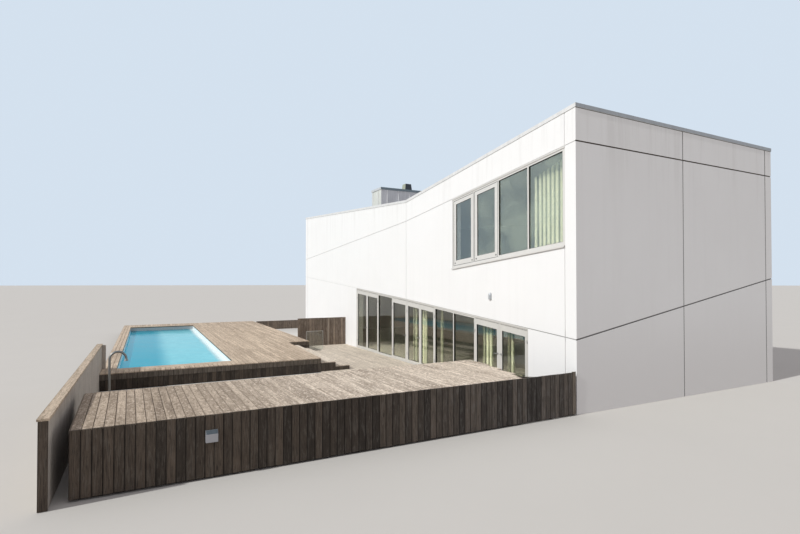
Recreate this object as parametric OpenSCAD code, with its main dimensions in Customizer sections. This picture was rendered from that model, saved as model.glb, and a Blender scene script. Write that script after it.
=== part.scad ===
// Beach house with a folded roof, slanted window bands, timber decks, a side fence and a pool.
// The near corner of the window side is the working origin, and each piece is then moved so that
// the middle of the whole footprint is the origin. X runs along the blank end, Y along the window side.

/* [House] */
// Length of the window side
house_l = 22000; // [21000:100:24000]
// Width of the blank end
house_w = 8600; // [8000:100:9600]
// Thickness of the two end walls
end_wall_t = 350; // [300:10:400]
// Thickness of the two long walls
side_wall_t = 350; // [300:10:400]
// Top of the coping at the near end
near_h = 7380; // [7200:10:7600]
// Top of the coping at the fold of the roof
valley_h = 6350; // [6250:10:6500]
// Top of the coping at the far end
far_h = 7270; // [7100:10:7500]
// Distance of the fold from the near end
valley_y = 8500; // [8400:50:9000]
// Thickness of the roof
roof_t = 300; // [220:10:360]
// Height of the coping above the roof
upstand_h = 150; // [100:10:250]
// Top of the ground floor
ground_floor_h = 60; // [40:5:90]
// Top of the upper floor
upper_floor_h = 3250; // [3150:10:3350]
// Thickness of the upper floor
upper_floor_t = 250; // [200:10:300]

/* [Panel joints] */
// Width of the upright joints and of the joints in the long walls
joint_w = 20; // [10:1:24]
// Width of the level and slanted joints in the two end walls
end_joint_w = 34; // [20:1:40]
// Depth of the joints between wall panels
joint_d = 18; // [8:1:25]
// Upper joint at the near end
upper_joint_near = 6480; // [6400:10:6600]
// Upper joint at the fold
upper_joint_valley = 5520; // [5450:10:5600]
// Upper joint at the far end
upper_joint_far = 4600; // [4500:10:4800]
// Lower joint at the near corner
lower_joint_corner = 1760; // [1740:10:1800]
// Lower joint at the fold
lower_joint_valley = 2480; // [2440:10:2560]
// Lower joint at the far end
lower_joint_far = 3510; // [3400:10:3600]
// Lower joint at the other end of the blank wall
lower_joint_back = 3250; // [3100:10:3400]
// Upright joint in the two end walls, from the window side
end_joint_x = 4090; // [3800:10:4400]

/* [Copings] */
// Height of the coping's outer leg
coping_h = 95; // [80:5:160]
// Thickness of the coping's top
coping_t = 25; // [15:1:40]
// How far the coping stands out of the wall
coping_out = 14; // [8:1:25]

/* [Upper window] */
// Underside of the sill at the near end of the upper window
sill_near = 3990; // [3940:5:4040]
// Fall of the sill for each metre of length
sill_fall = 85; // [60:1:95]
// Width of the two fixed upper bays
upper_fixed_w = 1250; // [1200:5:1300]
// Width of the two upper bays that hold sashes
upper_sash_w = 1175; // [1150:5:1250]
// Extra width of the nearest upper bay
upper_first_extra = 50; // [40:5:100]
// Width of the near jamb of the upper window
upper_jamb_w = 80; // [60:5:90]
// Stile of the opening sashes
sash_stile = 130; // [100:5:140]
// Bottom rail of the opening sashes
sash_bottom = 150; // [120:5:170]
// Top rail of the opening sashes
sash_top = 115; // [100:5:150]
// How far the sill stands out of the wall
sill_out = 40; // [25:5:60]

/* [Lower window band] */
// Start of the lower band from the near end
band_start = 1650; // [1600:10:1750]
// Width of the two nearest doors
near_door_w = 1205; // [1180:5:1220]
// Width of the two panes beside them
near_pane_w = 1165; // [1150:5:1200]
// Width of each door of the two pairs' near pair
pair_door_w = 1045; // [1000:5:1060]
// Width of the single door
single_door_w = 1280; // [1240:10:1300]
// Width of the pane beside the single door
far_pane_w = 1350; // [1300:10:1370]
// Width of each door of the far pair
far_door_w = 1220; // [1180:10:1240]
// Width of mullions and jambs
mullion_w = 50; // [40:2:60]
// Head of the lower frame, measured below the joint
head_h = 70; // [60:5:90]
// Depth of the window frames
frame_d = 90; // [85:1:110]
// How far the frames sit behind the wall face
frame_recess = 20; // [14:1:30]
// Height of the flush strip above the frames
head_strip_h = 40; // [30:2:50]

/* [Doors] */
// Thickness of a door
door_t = 60; // [50:1:62]
// Running gap at the sides and foot of a door
door_gap = 5; // [5:0.5:7]
// Running gap over a door, whose slanted top swings under a slanted head
door_head_gap = 12; // [11.5:0.5:14]
// Width of a door's stiles
door_stile = 85; // [70:5:100]
// Height of a door's bottom rail
door_bottom = 80; // [70:5:120]
// Height of a door's top rail
door_top = 168; // [150:1:200]
// Thickness of the glass
glass_t = 24; // [18:1:30]
// Height of the door handles
handle_h = 1070; // [1000:10:1120]
// Length of the handle levers
handle_l = 120; // [100:5:140]
// Radius of the hinge knuckles
knuckle_r = 8; // [7:0.5:8]

/* [Chimney] */
// Distance of the chimney box from the window side
chimney_x = 1330; // [1200:10:1800]
// Distance of the chimney box from the near end
chimney_y = 13600; // [13000:100:14500]
// Length of the chimney box
chimney_l = 2700; // [2400:50:3000]
// Width of the chimney box
chimney_w = 1100; // [1000:20:1300]
// Top of the chimney box
chimney_top = 7770; // [7700:10:8000]
// Thickness of the chimney cap
cap_t = 110; // [50:5:120]
// Overhang of the chimney cap
cap_out = 30; // [30:1:90]
// Spacing of the standing seams
seam_pitch = 640; // [500:20:700]
// Height of the flue cowl
cowl_h = 385; // [280:5:400]
// Distance of the flue cowl from the end of the chimney box
cowl_x = 1540; // [800:10:2200]

/* [Front platform] */
// Top of the front platform
platform_h = 1010; // [960:10:1060]
// Depth of the front platform
platform_depth = 2640; // [2400:20:2800]
// Left end of the platform's front edge, from the house corner
platform_left = 9930; // [9400:10:9960]
// Right end of the platform's front edge, from the house corner
platform_right_near = 1660; // [1600:10:1800]
// Right end of the platform's back edge, from the house corner
platform_right_far = 1170; // [1150:10:1300]
// Thickness of decking boards
board_t = 28; // [22:1:35]
// Thickness of the skirt boards
skirt_t = 28; // [22:1:35]
// Height of the recessed foot under the skirt boards
plinth_h = 30; // [20:5:60]
// How far that foot sits back
plinth_back = 60; // [40:5:100]
// Thickness of the bearers
bearer_t = 100; // [80:5:120]

/* [Pool deck and steps] */
// Top of the pool deck
deck_h = 500; // [460:10:540]
// Near edge of the pool deck
deck_y = 8080; // [7900:20:8400]
// Far edge of the pool deck
deck_end_y = 26300; // [25800:100:27000]
// Right edge of the deck at the steps, near end
deck_right_near = 3580; // [3500:10:3700]
// Right edge of the deck at the steps, far end
deck_right_far = 3410; // [3300:10:3480]
// Far end of the steps
notch_y = 13200; // [13000:50:13400]
// Right edge of the deck beyond the steps
deck_right_end = 2450; // [2350:10:2520]
// Width of one tread
tread_w = 530; // [500:10:540]
// Top of the terrace
terrace_h = 30; // [28:1:40]
// Left edge of the pool's water, from the house wall
pool_left = 9780; // [9700:10:9800]
// Width of the water
pool_w = 3380; // [3000:20:3500]
// Length of the water
pool_l = 15700; // [15000:100:16000]
// Width of the deck before the pool
pool_start = 820; // [600:20:1000]
// Thickness of the basin's walls
basin_t = 120; // [100:5:150]

/* [Fence and screens] */
// Inner face of the side fence, from the house wall
fence_in = 10170; // [10160:5:10200]
// Thickness of the side fence
fence_t = 120; // [100:5:140]
// Top of the side fence
fence_h = 1260; // [1200:10:1320]
// How far the fence stands in front of the house
fence_front = 190; // [150:10:300]
// Far end of the side fence
fence_end_y = 9050; // [8900:10:9900]
// Top of the screen wall
screen_h = 1385; // [1300:10:1450]
// Distance of the screen wall from the near end
screen_y = 15000; // [14800:20:15300]
// Thickness of the screen wall
screen_t = 90; // [70:5:110]
// Top of the low wall beside the end of the deck
low_wall_h = 560; // [540:5:620]
// Distance of the low wall from the near end
low_wall_y = 25050; // [24800:50:25600]
// Length of the low wall
low_wall_l = 3450; // [2800:50:3800]
// Distance of the glass guard from the near end
guard_y = 13600; // [13500:10:14000]
// Length of the glass guard
guard_l = 790; // [700:10:820]
// Top of the glass guard
guard_h = 890; // [840:10:950]
// Standpipe's distance from the house wall
pipe_x = 9620; // [9400:10:9800]
// Straight height of the standpipe
pipe_h = 1620; // [1500:10:1700]
// Outer radius of the standpipe
pipe_r = 22; // [16:1:28]
// Radius of the standpipe's bend
pipe_bend = 140; // [110:5:180]

/* [Hidden] */
$fn = 32;
white = [0.95, 0.95, 0.94];
frame_white = [0.88, 0.88, 0.86];
timber = [0.62, 0.58, 0.53];
dark_timber = [0.33, 0.29, 0.27];
glass_tint = [0.3, 0.42, 0.42, 0.5];
steel = [0.6, 0.62, 0.64];
soft = 0.3;

deck_left = fence_in;
fence_out = fence_in + fence_t;
cap_over = 15;
min_x = -fence_out - cap_over;
max_x = house_w + coping_out;
min_y = -fence_front;
mid_x = (min_x + max_x) / 2;
mid_y = (min_y + deck_end_y) / 2;

// Heights along the window side
function along(y, a, b, c) =
    y < valley_y ? a + (b - a) * y / valley_y
                 : b + (c - b) * (y - valley_y) / (house_l - valley_y);
function coping_at(y) = along(y, near_h, valley_h, far_h);
function upper_at(y) = along(y, upper_joint_near, upper_joint_valley, upper_joint_far);
function lower_at(y) = along(y, lower_joint_corner, lower_joint_valley, lower_joint_far);
function back_lower_at(y) =
    lower_joint_back + (lower_joint_corner - lower_joint_back) * y / house_l;
function sill_at(y) = sill_near - sill_fall * (y - end_wall_t) / 1000;

// Bays of the upper window, from the near end
upper_start = end_wall_t;
upper_edges = [
    upper_start,
    upper_start + upper_fixed_w + upper_first_extra,
    upper_start + 2 * upper_fixed_w + upper_first_extra,
    upper_start + 2 * upper_fixed_w + upper_sash_w + upper_first_extra,
    upper_start + 2 * upper_fixed_w + 2 * upper_sash_w + upper_first_extra
];
upper_end = upper_edges[4];
fixed_foot = 125;
fixed_head = 95;
sash_frame_foot = 95;
sash_frame_head = 100;

// Bays of the lower band, from the near end
widths = [
    near_door_w, near_door_w, near_pane_w, near_pane_w, pair_door_w, pair_door_w,
    single_door_w, far_pane_w, far_door_w, far_door_w
];
function sum_to(list, n) = n < 1 ? 0 : list[n - 1] + sum_to(list, n - 1);
function edge(n) = band_start + sum_to(widths, n);
band_end = edge(len(widths));
threshold_h = ground_floor_h;
stop_w = 12;
head_stop = 8;
stop_x = frame_recess + door_t + 5;

// Each door: its bay, the side of its hinge (-1 near, 1 far), whether a mullion stands at its
// near and far edge, and whether it has a handle
doors = [
    [0, -1, true, true, true],
    [1, 1, true, true, true],
    [4, -1, true, false, false],
    [5, 1, false, true, true],
    [6, 1, true, true, true],
    [8, -1, true, false, false],
    [9, 1, false, true, true]
];
pair_gap = 8;
function door_lo(d) = edge(d[0]) + (d[2] ? mullion_w / 2 + door_gap : pair_gap / 2);
function door_hi(d) = edge(d[0] + 1) - (d[3] ? mullion_w / 2 + door_gap : pair_gap / 2);
first_door_lo = edge(0) + mullion_w + door_gap;
last_door_hi = edge(10) - mullion_w - door_gap;
function leaf_lo(d) = d[0] == 0 ? first_door_lo : door_lo(d);
function leaf_hi(d) = d[0] == 9 ? last_door_hi : door_hi(d);
leaf_foot = threshold_h + door_gap;
knuckle_l = 45;
hinge_x = frame_recess - knuckle_r - soft;
function hinge_y(d) = d[1] < 0 ? leaf_lo(d) - door_gap / 2 : leaf_hi(d) + door_gap / 2;
hinge_low = 330;
hinge_drop = 420;
function hinge_heights(d) = [
    hinge_low,
    lower_at(leaf_lo(d)) - hinge_drop
];

// The roof
roof_drop = upstand_h;
wall_drop = coping_t + soft;

// Front platform outline
platform_left_far = platform_left + 70;
platform_outline = [
    [-platform_left, 0], [-platform_right_near, 0],
    [-platform_right_far, platform_depth], [-platform_left_far, platform_depth]
];

// Pool deck outline
deck_outline = [
    [-deck_left, deck_y], [-deck_right_near, deck_y], [-deck_right_far, notch_y],
    [-deck_right_end, notch_y], [-deck_right_end, deck_end_y], [-deck_left, deck_end_y]
];
deck_t = 60;
pool_y = deck_y + pool_start;
riser_h = (deck_h - terrace_h) / 3;

module place() {
    translate([-mid_x, -mid_y, 0]) children();
}

// A plate standing along the window side: points are (y, z)
module side_plate(x, t, points) {
    translate([x, 0, 0]) rotate([90, 0, 90]) linear_extrude(t) polygon(points);
}

// A plate standing along the blank end: points are (x, z)
module end_plate(y, t, points) {
    translate([0, y + t, 0]) rotate([90, 0, 0]) linear_extrude(t) polygon(points);
}

// A flat plate: points are (x, y)
module flat_plate(z, t, points) {
    translate([0, 0, z]) linear_extrude(t) polygon(points);
}

// A joint in the face x = 0 along a line of (y, z) points
module side_groove(points) {
    last = len(points) - 1;
    side_plate(-joint_d, 2 * joint_d, concat(
        [for (p = points) [p[0], p[1] - joint_w / 2]],
        [for (i = [last:-1:0]) [points[i][0], points[i][1] + joint_w / 2]]
    ));
}

// An upright joint in the face x = 0
module side_upright(y, from_z) {
    translate([-joint_d, y - joint_w / 2, from_z])
        cube([2 * joint_d, joint_w, near_h + joint_w - from_z]);
}

// A joint in the face y = 0 along a line of (x, z) points
module end_groove(points) {
    last = len(points) - 1;
    end_plate(-joint_d, 2 * joint_d, concat(
        [for (p = points) [p[0], p[1] - end_joint_w / 2]],
        [for (i = [last:-1:0]) [points[i][0], points[i][1] + end_joint_w / 2]]
    ));
}

// An upright joint in the face y = 0
module end_upright(x) {
    translate([x - joint_w / 2, -joint_d, -joint_w])
        cube([joint_w, 2 * joint_d, near_h + 2 * joint_w]);
}

past = 50;
module upper_joints() {
    side_groove([
        [-past, upper_at(-past)], [valley_y, upper_joint_valley],
        [house_l + past, upper_at(house_l + past)]
    ]);
}

module facade_joints() {
    upper_joints();
    side_groove([
        [-past, lower_at(-past)], [valley_y, lower_joint_valley],
        [house_l + past, lower_at(house_l + past)]
    ]);
    side_upright(end_wall_t, -joint_w);
    side_upright(valley_y, lower_joint_valley);
    side_upright(house_l - end_wall_t, -joint_w);
}

module back_joints() {
    translate([house_w, 0, 0]) {
        upper_joints();
        side_groove([
            [-past, back_lower_at(-past)], [house_l + past, back_lower_at(house_l + past)]
        ]);
        side_upright(valley_y, back_lower_at(valley_y));
    }
}

module wall_end_joints(upper, lower_front, lower_back) {
    rise = (lower_back - lower_front) / house_w;
    end_groove([[-past, upper], [house_w + past, upper]]);
    end_groove([
        [-past, lower_front - rise * past], [house_w + past, lower_back + rise * past]
    ]);
    end_upright(end_joint_x);
    end_upright(house_w - side_wall_t);
}

module gable_joints() {
    wall_end_joints(upper_joint_near, lower_joint_corner, lower_joint_back);
}

module end_joints() {
    translate([0, house_l, 0])
        wall_end_joints(upper_joint_far, lower_joint_far, lower_joint_corner);
}

function wall_top(y) = coping_at(y) - wall_drop;

// The top of a wall from one end to the other, with the fold where it lies between them
function wall_tops(y_from, y_to) = concat(
    [[y_from, wall_top(y_from)]],
    (min(y_from, y_to) < valley_y && max(y_from, y_to) > valley_y)
        ? [[valley_y, wall_top(valley_y)]] : [],
    [[y_to, wall_top(y_to)]]
);

module facade_panel(points) {
    color(white) place() difference() {
        side_plate(0, side_wall_t, points);
        facade_joints();
    }
}

module facade_top_near() {
    facade_panel([
        [end_wall_t, upper_at(end_wall_t) + soft], [valley_y, upper_joint_valley + soft],
        [valley_y, wall_top(valley_y)], [end_wall_t, wall_top(end_wall_t)]
    ]);
}

module facade_top_far() {
    last = house_l - end_wall_t;
    facade_panel([
        [valley_y, upper_joint_valley + soft], [last, upper_at(last) + soft],
        [last, wall_top(last)], [valley_y, wall_top(valley_y)]
    ]);
}

module facade_middle_near() {
    facade_panel([
        [end_wall_t, lower_at(end_wall_t) + soft], [valley_y, lower_joint_valley + soft],
        [valley_y, upper_joint_valley], [upper_end, upper_at(upper_end)],
        [upper_end, sill_at(upper_end) - soft], [end_wall_t, sill_at(end_wall_t) - soft]
    ]);
}

module facade_middle_far() {
    last = house_l - end_wall_t;
    facade_panel([
        [valley_y, lower_joint_valley + soft], [last, lower_at(last) + soft],
        [last, upper_at(last)], [valley_y, upper_joint_valley]
    ]);
}

module facade_low_near() {
    facade_panel([
        [end_wall_t, 0], [band_start, 0],
        [band_start, lower_at(band_start)], [end_wall_t, lower_at(end_wall_t)]
    ]);
}

module facade_low_far() {
    last = house_l - end_wall_t;
    facade_panel([
        [band_end, 0], [last, 0], [last, lower_at(last)], [band_end, lower_at(band_end)]
    ]);
}

// The blank end wall stops at the back wall, and its edge shows on the window side
module gable_panel(x_from, x_to) {
    color(white) place() difference() {
        side_plate(x_from, x_to - x_from, [
            [0, 0], [end_wall_t, 0], [end_wall_t, wall_top(end_wall_t)], [0, wall_top(0)]
        ]);
        gable_joints();
        facade_joints();
    }
}

module gable_wall_near() { gable_panel(0, end_joint_x); }

module gable_wall_far() { gable_panel(end_joint_x, house_w - side_wall_t); }

module end_wall() {
    color(white) place() difference() {
        side_plate(0, house_w - side_wall_t, [
            [house_l - end_wall_t, 0], [house_l, 0], [house_l, wall_top(house_l)],
            [house_l - end_wall_t, wall_top(house_l - end_wall_t)]
        ]);
        end_joints();
        facade_joints();
    }
}

// Windows of the back wall repeat the upper window and a band of fixed bays
back_band_start = 9000;
back_bays = 4;
back_bay_w = 1200;
back_band_end = back_band_start + back_bays * back_bay_w;
back_x = house_w - side_wall_t;

module back_upper_hole(x, t, clear) {
    side_plate(x, t, [
        [upper_start + side_wall_t, sill_at(upper_start + side_wall_t) + clear],
        [upper_end, sill_at(upper_end) + clear],
        [upper_end, upper_at(upper_end) - clear],
        [upper_start + side_wall_t, upper_at(upper_start + side_wall_t) - clear]
    ]);
}

module back_panel(points) {
    color(white) place() difference() {
        side_plate(back_x, side_wall_t, points);
        back_joints();
        gable_joints();
        end_joints();
        back_upper_hole(back_x - 1, side_wall_t + 2, 0);
    }
}

module back_wall_near() {
    back_panel(concat([[0, 0], [back_band_start, 0]], wall_tops(back_band_start, 0)));
}

module back_wall_middle() {
    back_panel(concat([
        [back_band_start, back_lower_at(back_band_start) + soft],
        [back_band_end, back_lower_at(back_band_end) + soft]
    ], wall_tops(back_band_end, back_band_start)));
}

module back_wall_far() {
    back_panel(concat([[back_band_end, 0], [house_l, 0]], wall_tops(house_l, back_band_end)));
}

// Floors reach from wall to wall, with a tongue out to the frame of the lower band
module ground_floor() {
    color("gainsboro") place() {
        translate([side_wall_t, end_wall_t, 0])
            cube([house_w - 2 * side_wall_t, house_l - 2 * end_wall_t, ground_floor_h]);
        translate([frame_recess + frame_d, band_start, 0])
            cube([side_wall_t - frame_recess - frame_d + 1, band_end - band_start, ground_floor_h]);
    }
}

module upper_floor() {
    color("gainsboro") place()
        translate([side_wall_t, end_wall_t, upper_floor_h - upper_floor_t])
            cube([house_w - 2 * side_wall_t, house_l - 2 * end_wall_t, upper_floor_t]);
}

module roof_slope(y_from, y_to) {
    color("dimgray") place() side_plate(side_wall_t, house_w - 2 * side_wall_t, [
        [y_from, coping_at(y_from) - roof_drop - roof_t],
        [y_to, coping_at(y_to) - roof_drop - roof_t],
        [y_to, coping_at(y_to) - roof_drop], [y_from, coping_at(y_from) - roof_drop]
    ]);
}

module roof_near_slope() { roof_slope(end_wall_t, valley_y); }

module roof_far_slope() { roof_slope(valley_y, house_l - end_wall_t); }

// A band of the coping along a long wall, from one depth below its top to another
module coping_band(x, t, high, low, y_from, y_to) {
    side_plate(x, t, [
        [y_from, coping_at(y_from) - low], [valley_y, valley_h - low],
        [y_to, coping_at(y_to) - low], [y_to, coping_at(y_to) - high],
        [valley_y, valley_h - high], [y_from, coping_at(y_from) - high]
    ]);
}

module roof_coping() {
    inner_end = house_l - end_wall_t;
    color("lightgray") place() difference() {
        coping_band(-coping_out, house_w + 2 * coping_out, 0, coping_h,
            -coping_out, house_l + coping_out);
        coping_band(0, house_w, coping_t, coping_h + past, 0, house_l);
        coping_band(side_wall_t, house_w - 2 * side_wall_t, -past, coping_h + past,
            end_wall_t, inner_end);
    }
}

// A slanted quadrilateral between two upright lines, its foot on a sill line and its head under
// a joint line, each line offset by a height
function slant(y_from, y_to, foot_from, foot_to, head_from, head_to) = [
    [y_from, foot_from], [y_to, foot_to], [y_to, head_to], [y_from, head_from]
];
function upper_shape(y_from, y_to, foot, head) = slant(
    y_from, y_to, sill_at(y_from) + foot, sill_at(y_to) + foot,
    upper_at(y_from) - head, upper_at(y_to) - head
);
function lower_shape(y_from, y_to, foot, head) = slant(
    y_from, y_to, foot, foot, lower_at(y_from) - head, lower_at(y_to) - head
);

half_bar = 27;
function upper_pane(i) = upper_shape(
    upper_edges[i] + (i == 0 ? upper_jamb_w : half_bar), upper_edges[i + 1] - half_bar,
    fixed_foot, fixed_head
);
function sash_lo(i) = upper_edges[i] + half_bar;
function sash_hi(i) = upper_edges[i + 1] - (i == 3 ? mullion_w : half_bar);
sash_gap = 6;
sash_x = frame_recess + 4;
sash_t = 55;

module upper_window_frame() {
    color(frame_white) place() {
        difference() {
            side_plate(frame_recess, frame_d, upper_shape(upper_start, upper_end, 0, 0));
            for (i = [0, 1]) side_plate(0, side_wall_t, upper_pane(i));
            for (i = [2, 3]) {
                side_plate(0, sash_x + sash_t,
                    upper_shape(sash_lo(i), sash_hi(i), sash_frame_foot, sash_frame_head));
                side_plate(0, side_wall_t, upper_shape(
                    sash_lo(i) + stop_w, sash_hi(i) - stop_w,
                    sash_frame_foot + stop_w, sash_frame_head + stop_w));
            }
        }
        side_plate(0, frame_recess + 1, slant(
            upper_start, upper_end,
            upper_at(upper_start) - head_strip_h, upper_at(upper_end) - head_strip_h,
            upper_at(upper_start), upper_at(upper_end)));
        sill_flashing();
    }
}

sill_t = 25;
sill_lip = 22;
module sill_flashing() {
    side_plate(-sill_out, sill_out + frame_recess + 1, slant(
        upper_start, upper_end, sill_at(upper_start), sill_at(upper_end),
        sill_at(upper_start) + sill_t, sill_at(upper_end) + sill_t));
    side_plate(-sill_out, 6, slant(
        upper_start, upper_end, sill_at(upper_start) - sill_lip, sill_at(upper_end) - sill_lip,
        sill_at(upper_start) + sill_t, sill_at(upper_end) + sill_t));
}

module upper_window_sashes() {
    color(frame_white) place() for (i = [2, 3]) difference() {
        side_plate(sash_x, sash_t, upper_shape(
            sash_lo(i) + sash_gap, sash_hi(i) - sash_gap,
            sash_frame_foot + sash_gap, sash_frame_head + sash_gap));
        side_plate(sash_x - 1, sash_t + 2, sash_pane(i));
    }
}

function sash_pane(i) = upper_shape(
    sash_lo(i) + sash_gap + sash_stile, sash_hi(i) - sash_gap - sash_stile,
    sash_frame_foot + sash_gap + sash_bottom, sash_frame_head + sash_gap + sash_top
);

pane_x = frame_recess + 30;
module upper_window_glass() {
    color(glass_tint) place() {
        for (i = [0, 1]) side_plate(pane_x, glass_t, upper_pane(i));
        for (i = [2, 3]) side_plate(sash_x + 15, glass_t, sash_pane(i));
    }
}

// The lower band: bays 2, 3 and 7 are fixed, the others hold doors
pane_bays = [2, 3, 7];
function lower_pane(i) = lower_shape(
    edge(i) + mullion_w / 2, edge(i + 1) - mullion_w / 2, threshold_h + 50, head_h + 25
);
// Clear openings of the frame for doors: single bays and the two pairs
door_openings = [[0, 1], [1, 2], [4, 6], [6, 7], [8, 10]];
function opening_lo(o) = edge(o[0]) + (o[0] == 0 ? mullion_w : mullion_w / 2);
function opening_hi(o) = edge(o[1]) - (o[1] == 10 ? mullion_w : mullion_w / 2);

// The head of a bay pair follows the fold of the joint line where the pair spans it
module band_plate(x, t, y_from, y_to, foot, head) {
    side_plate(x, t, concat(
        [[y_from, foot], [y_to, foot], [y_to, lower_at(y_to) - head]],
        (y_from < valley_y && y_to > valley_y) ? [[valley_y, lower_joint_valley - head]] : [],
        [[y_from, lower_at(y_from) - head]]
    ));
}

module lower_window_frame() {
    color(frame_white) place() {
        difference() {
            band_plate(frame_recess, frame_d, band_start, band_end, 0, 0);
            for (i = pane_bays) side_plate(0, side_wall_t, lower_pane(i));
            for (o = door_openings) {
                band_plate(0, stop_x, opening_lo(o), opening_hi(o), threshold_h, head_h);
                band_plate(0, side_wall_t, opening_lo(o) + stop_w, opening_hi(o) - stop_w,
                    threshold_h + stop_w, head_h + door_head_gap + head_stop);
            }
        }
        difference() {
            band_plate(0, frame_recess + 1, band_start, band_end, threshold_h, 0);
            band_plate(-1, frame_recess + 3, band_start - 1, band_end + 1,
                threshold_h - 1, head_strip_h);
        }
        for (d = doors) for (z = hinge_heights(d)) frame_knuckle(d, z);
    }
}

module lower_window_glass() {
    color(glass_tint) place() for (i = pane_bays) side_plate(pane_x, glass_t, lower_pane(i));
}

// The lower half of a hinge, on the frame
plate_w = 20;
plate_t = 3;
module frame_knuckle(d, z) {
    side = d[1];
    translate([hinge_x, hinge_y(d), z]) {
        cylinder(h = knuckle_l, r = knuckle_r);
        translate([knuckle_r - plate_t, side > 0 ? 0 : -plate_w, 0])
            cube([plate_t + 2 * soft, plate_w, knuckle_l]);
    }
}

// The upper half of a hinge, on the door
module leaf_knuckle(d, z) {
    side = d[1];
    translate([hinge_x, hinge_y(d), z + knuckle_l + soft]) {
        cylinder(h = knuckle_l, r = knuckle_r);
        translate([knuckle_r - plate_t, side > 0 ? -plate_w : 0, 0])
            cube([plate_t + 2 * soft, plate_w, knuckle_l]);
    }
}

function door_glass_shape(d) = lower_shape(
    leaf_lo(d) + door_stile, leaf_hi(d) - door_stile,
    leaf_foot + door_bottom, head_h + door_head_gap + door_top
);

module door_leaf(d) {
    color(frame_white) place() {
        difference() {
            side_plate(frame_recess, door_t,
                lower_shape(leaf_lo(d), leaf_hi(d), leaf_foot, head_h + door_head_gap));
            side_plate(0, side_wall_t, door_glass_shape(d));
        }
        for (z = hinge_heights(d)) leaf_knuckle(d, z);
        if (d[4]) door_handle(d);
    }
}

// A lever handle at the free edge, pointing towards the hinge
neck_l = 50;
lever_r = 9;
module door_handle(d) {
    free_y = d[1] > 0 ? leaf_lo(d) + door_stile / 2 : leaf_hi(d) - door_stile / 2;
    translate([frame_recess, free_y, handle_h]) {
        rotate([0, -90, 0]) cylinder(h = 8, r = 26);
        rotate([0, -90, 0]) cylinder(h = neck_l, r = lever_r);
        translate([-neck_l, 0, 0]) sphere(r = lever_r);
        translate([-neck_l, 0, 0]) rotate([d[1] > 0 ? -90 : 90, 0, 0])
            cylinder(h = handle_l, r = lever_r);
    }
}

module door_glass(d) {
    color(glass_tint) place()
        side_plate(frame_recess + (door_t - glass_t) / 2, glass_t, door_glass_shape(d));
}

module door_1_leaf() { door_leaf(doors[0]); }
module door_2_leaf() { door_leaf(doors[1]); }
module door_3_leaf() { door_leaf(doors[2]); }
module door_4_leaf() { door_leaf(doors[3]); }
module door_5_leaf() { door_leaf(doors[4]); }
module door_6_leaf() { door_leaf(doors[5]); }
module door_7_leaf() { door_leaf(doors[6]); }
module door_1_glass() { door_glass(doors[0]); }
module door_2_glass() { door_glass(doors[1]); }
module door_3_glass() { door_glass(doors[2]); }
module door_4_glass() { door_glass(doors[3]); }
module door_5_glass() { door_glass(doors[4]); }
module door_6_glass() { door_glass(doors[5]); }
module door_7_glass() { door_glass(doors[6]); }

// Windows of the back, seen from outside as on the window side
function back_upper_pane(i) = upper_shape(
    (i == 0 ? upper_start + side_wall_t + mullion_w : upper_edges[i] + half_bar),
    upper_edges[i + 1] - (i == 3 ? mullion_w : half_bar), fixed_foot, fixed_head
);
function back_lower_pane(i) = let (
    a = back_band_start + i * back_bay_w + (i == 0 ? mullion_w : mullion_w / 2),
    b = back_band_start + (i + 1) * back_bay_w - (i == back_bays - 1 ? mullion_w : mullion_w / 2)
) slant(a, b, threshold_h + 50, threshold_h + 50,
    back_lower_at(a) - head_h - 25, back_lower_at(b) - head_h - 25);
back_frame_x = house_w - frame_recess - frame_d;

module back_window_frames() {
    color(frame_white) place() {
        difference() {
            back_upper_hole(back_frame_x, frame_d, soft);
            for (i = [0:3]) side_plate(back_x, side_wall_t, back_upper_pane(i));
        }
        difference() {
            side_plate(back_frame_x, frame_d, slant(
                back_band_start, back_band_end, 0, 0,
                back_lower_at(back_band_start), back_lower_at(back_band_end)));
            for (i = [0:back_bays - 1]) side_plate(back_x, side_wall_t, back_lower_pane(i));
        }
    }
}

module back_window_glass() {
    x = house_w - pane_x - glass_t;
    color(glass_tint) place() {
        for (i = [0:3]) side_plate(x, glass_t, back_upper_pane(i));
        for (i = [0:back_bays - 1]) side_plate(x, glass_t, back_lower_pane(i));
    }
}

// Gathered curtains: one over most of the nearest upper pane, the others behind doors.
// Each lower one has its bay, and its start and width as shares of that bay.
curtain_t = 90;
curtain_x = side_wall_t + 15;
curtain_side = 60;
curtain_reach = 150;
curtain_head_near = 60;
curtain_head_far = 300;
lower_curtain_head = 120;
lower_curtains = [
    [0, 0.83, 0.25], [1, 0.64, 0.41], [4, 0.03, 0.145], [5, 0.09, 0.46], [5, 0.81, 0.35]
];
module curtains() {
    upper_lo = end_wall_t + curtain_side;
    upper_hi = upper_edges[1] + curtain_reach;
    color([0.85, 0.9, 0.8]) place() {
        side_plate(curtain_x, curtain_t, slant(
            upper_lo, upper_hi, upper_floor_h + soft, upper_floor_h + soft,
            upper_at(upper_lo) - curtain_head_near, upper_at(upper_hi) - curtain_head_far));
        for (c = lower_curtains) {
            y = edge(c[0]) + c[1] * widths[c[0]];
            side_plate(curtain_x, curtain_t, slant(
                y, y + c[2] * widths[c[0]], ground_floor_h + soft, ground_floor_h + soft,
                lower_at(y) - lower_curtain_head, lower_at(y) - lower_curtain_head));
        }
    }
}

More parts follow.
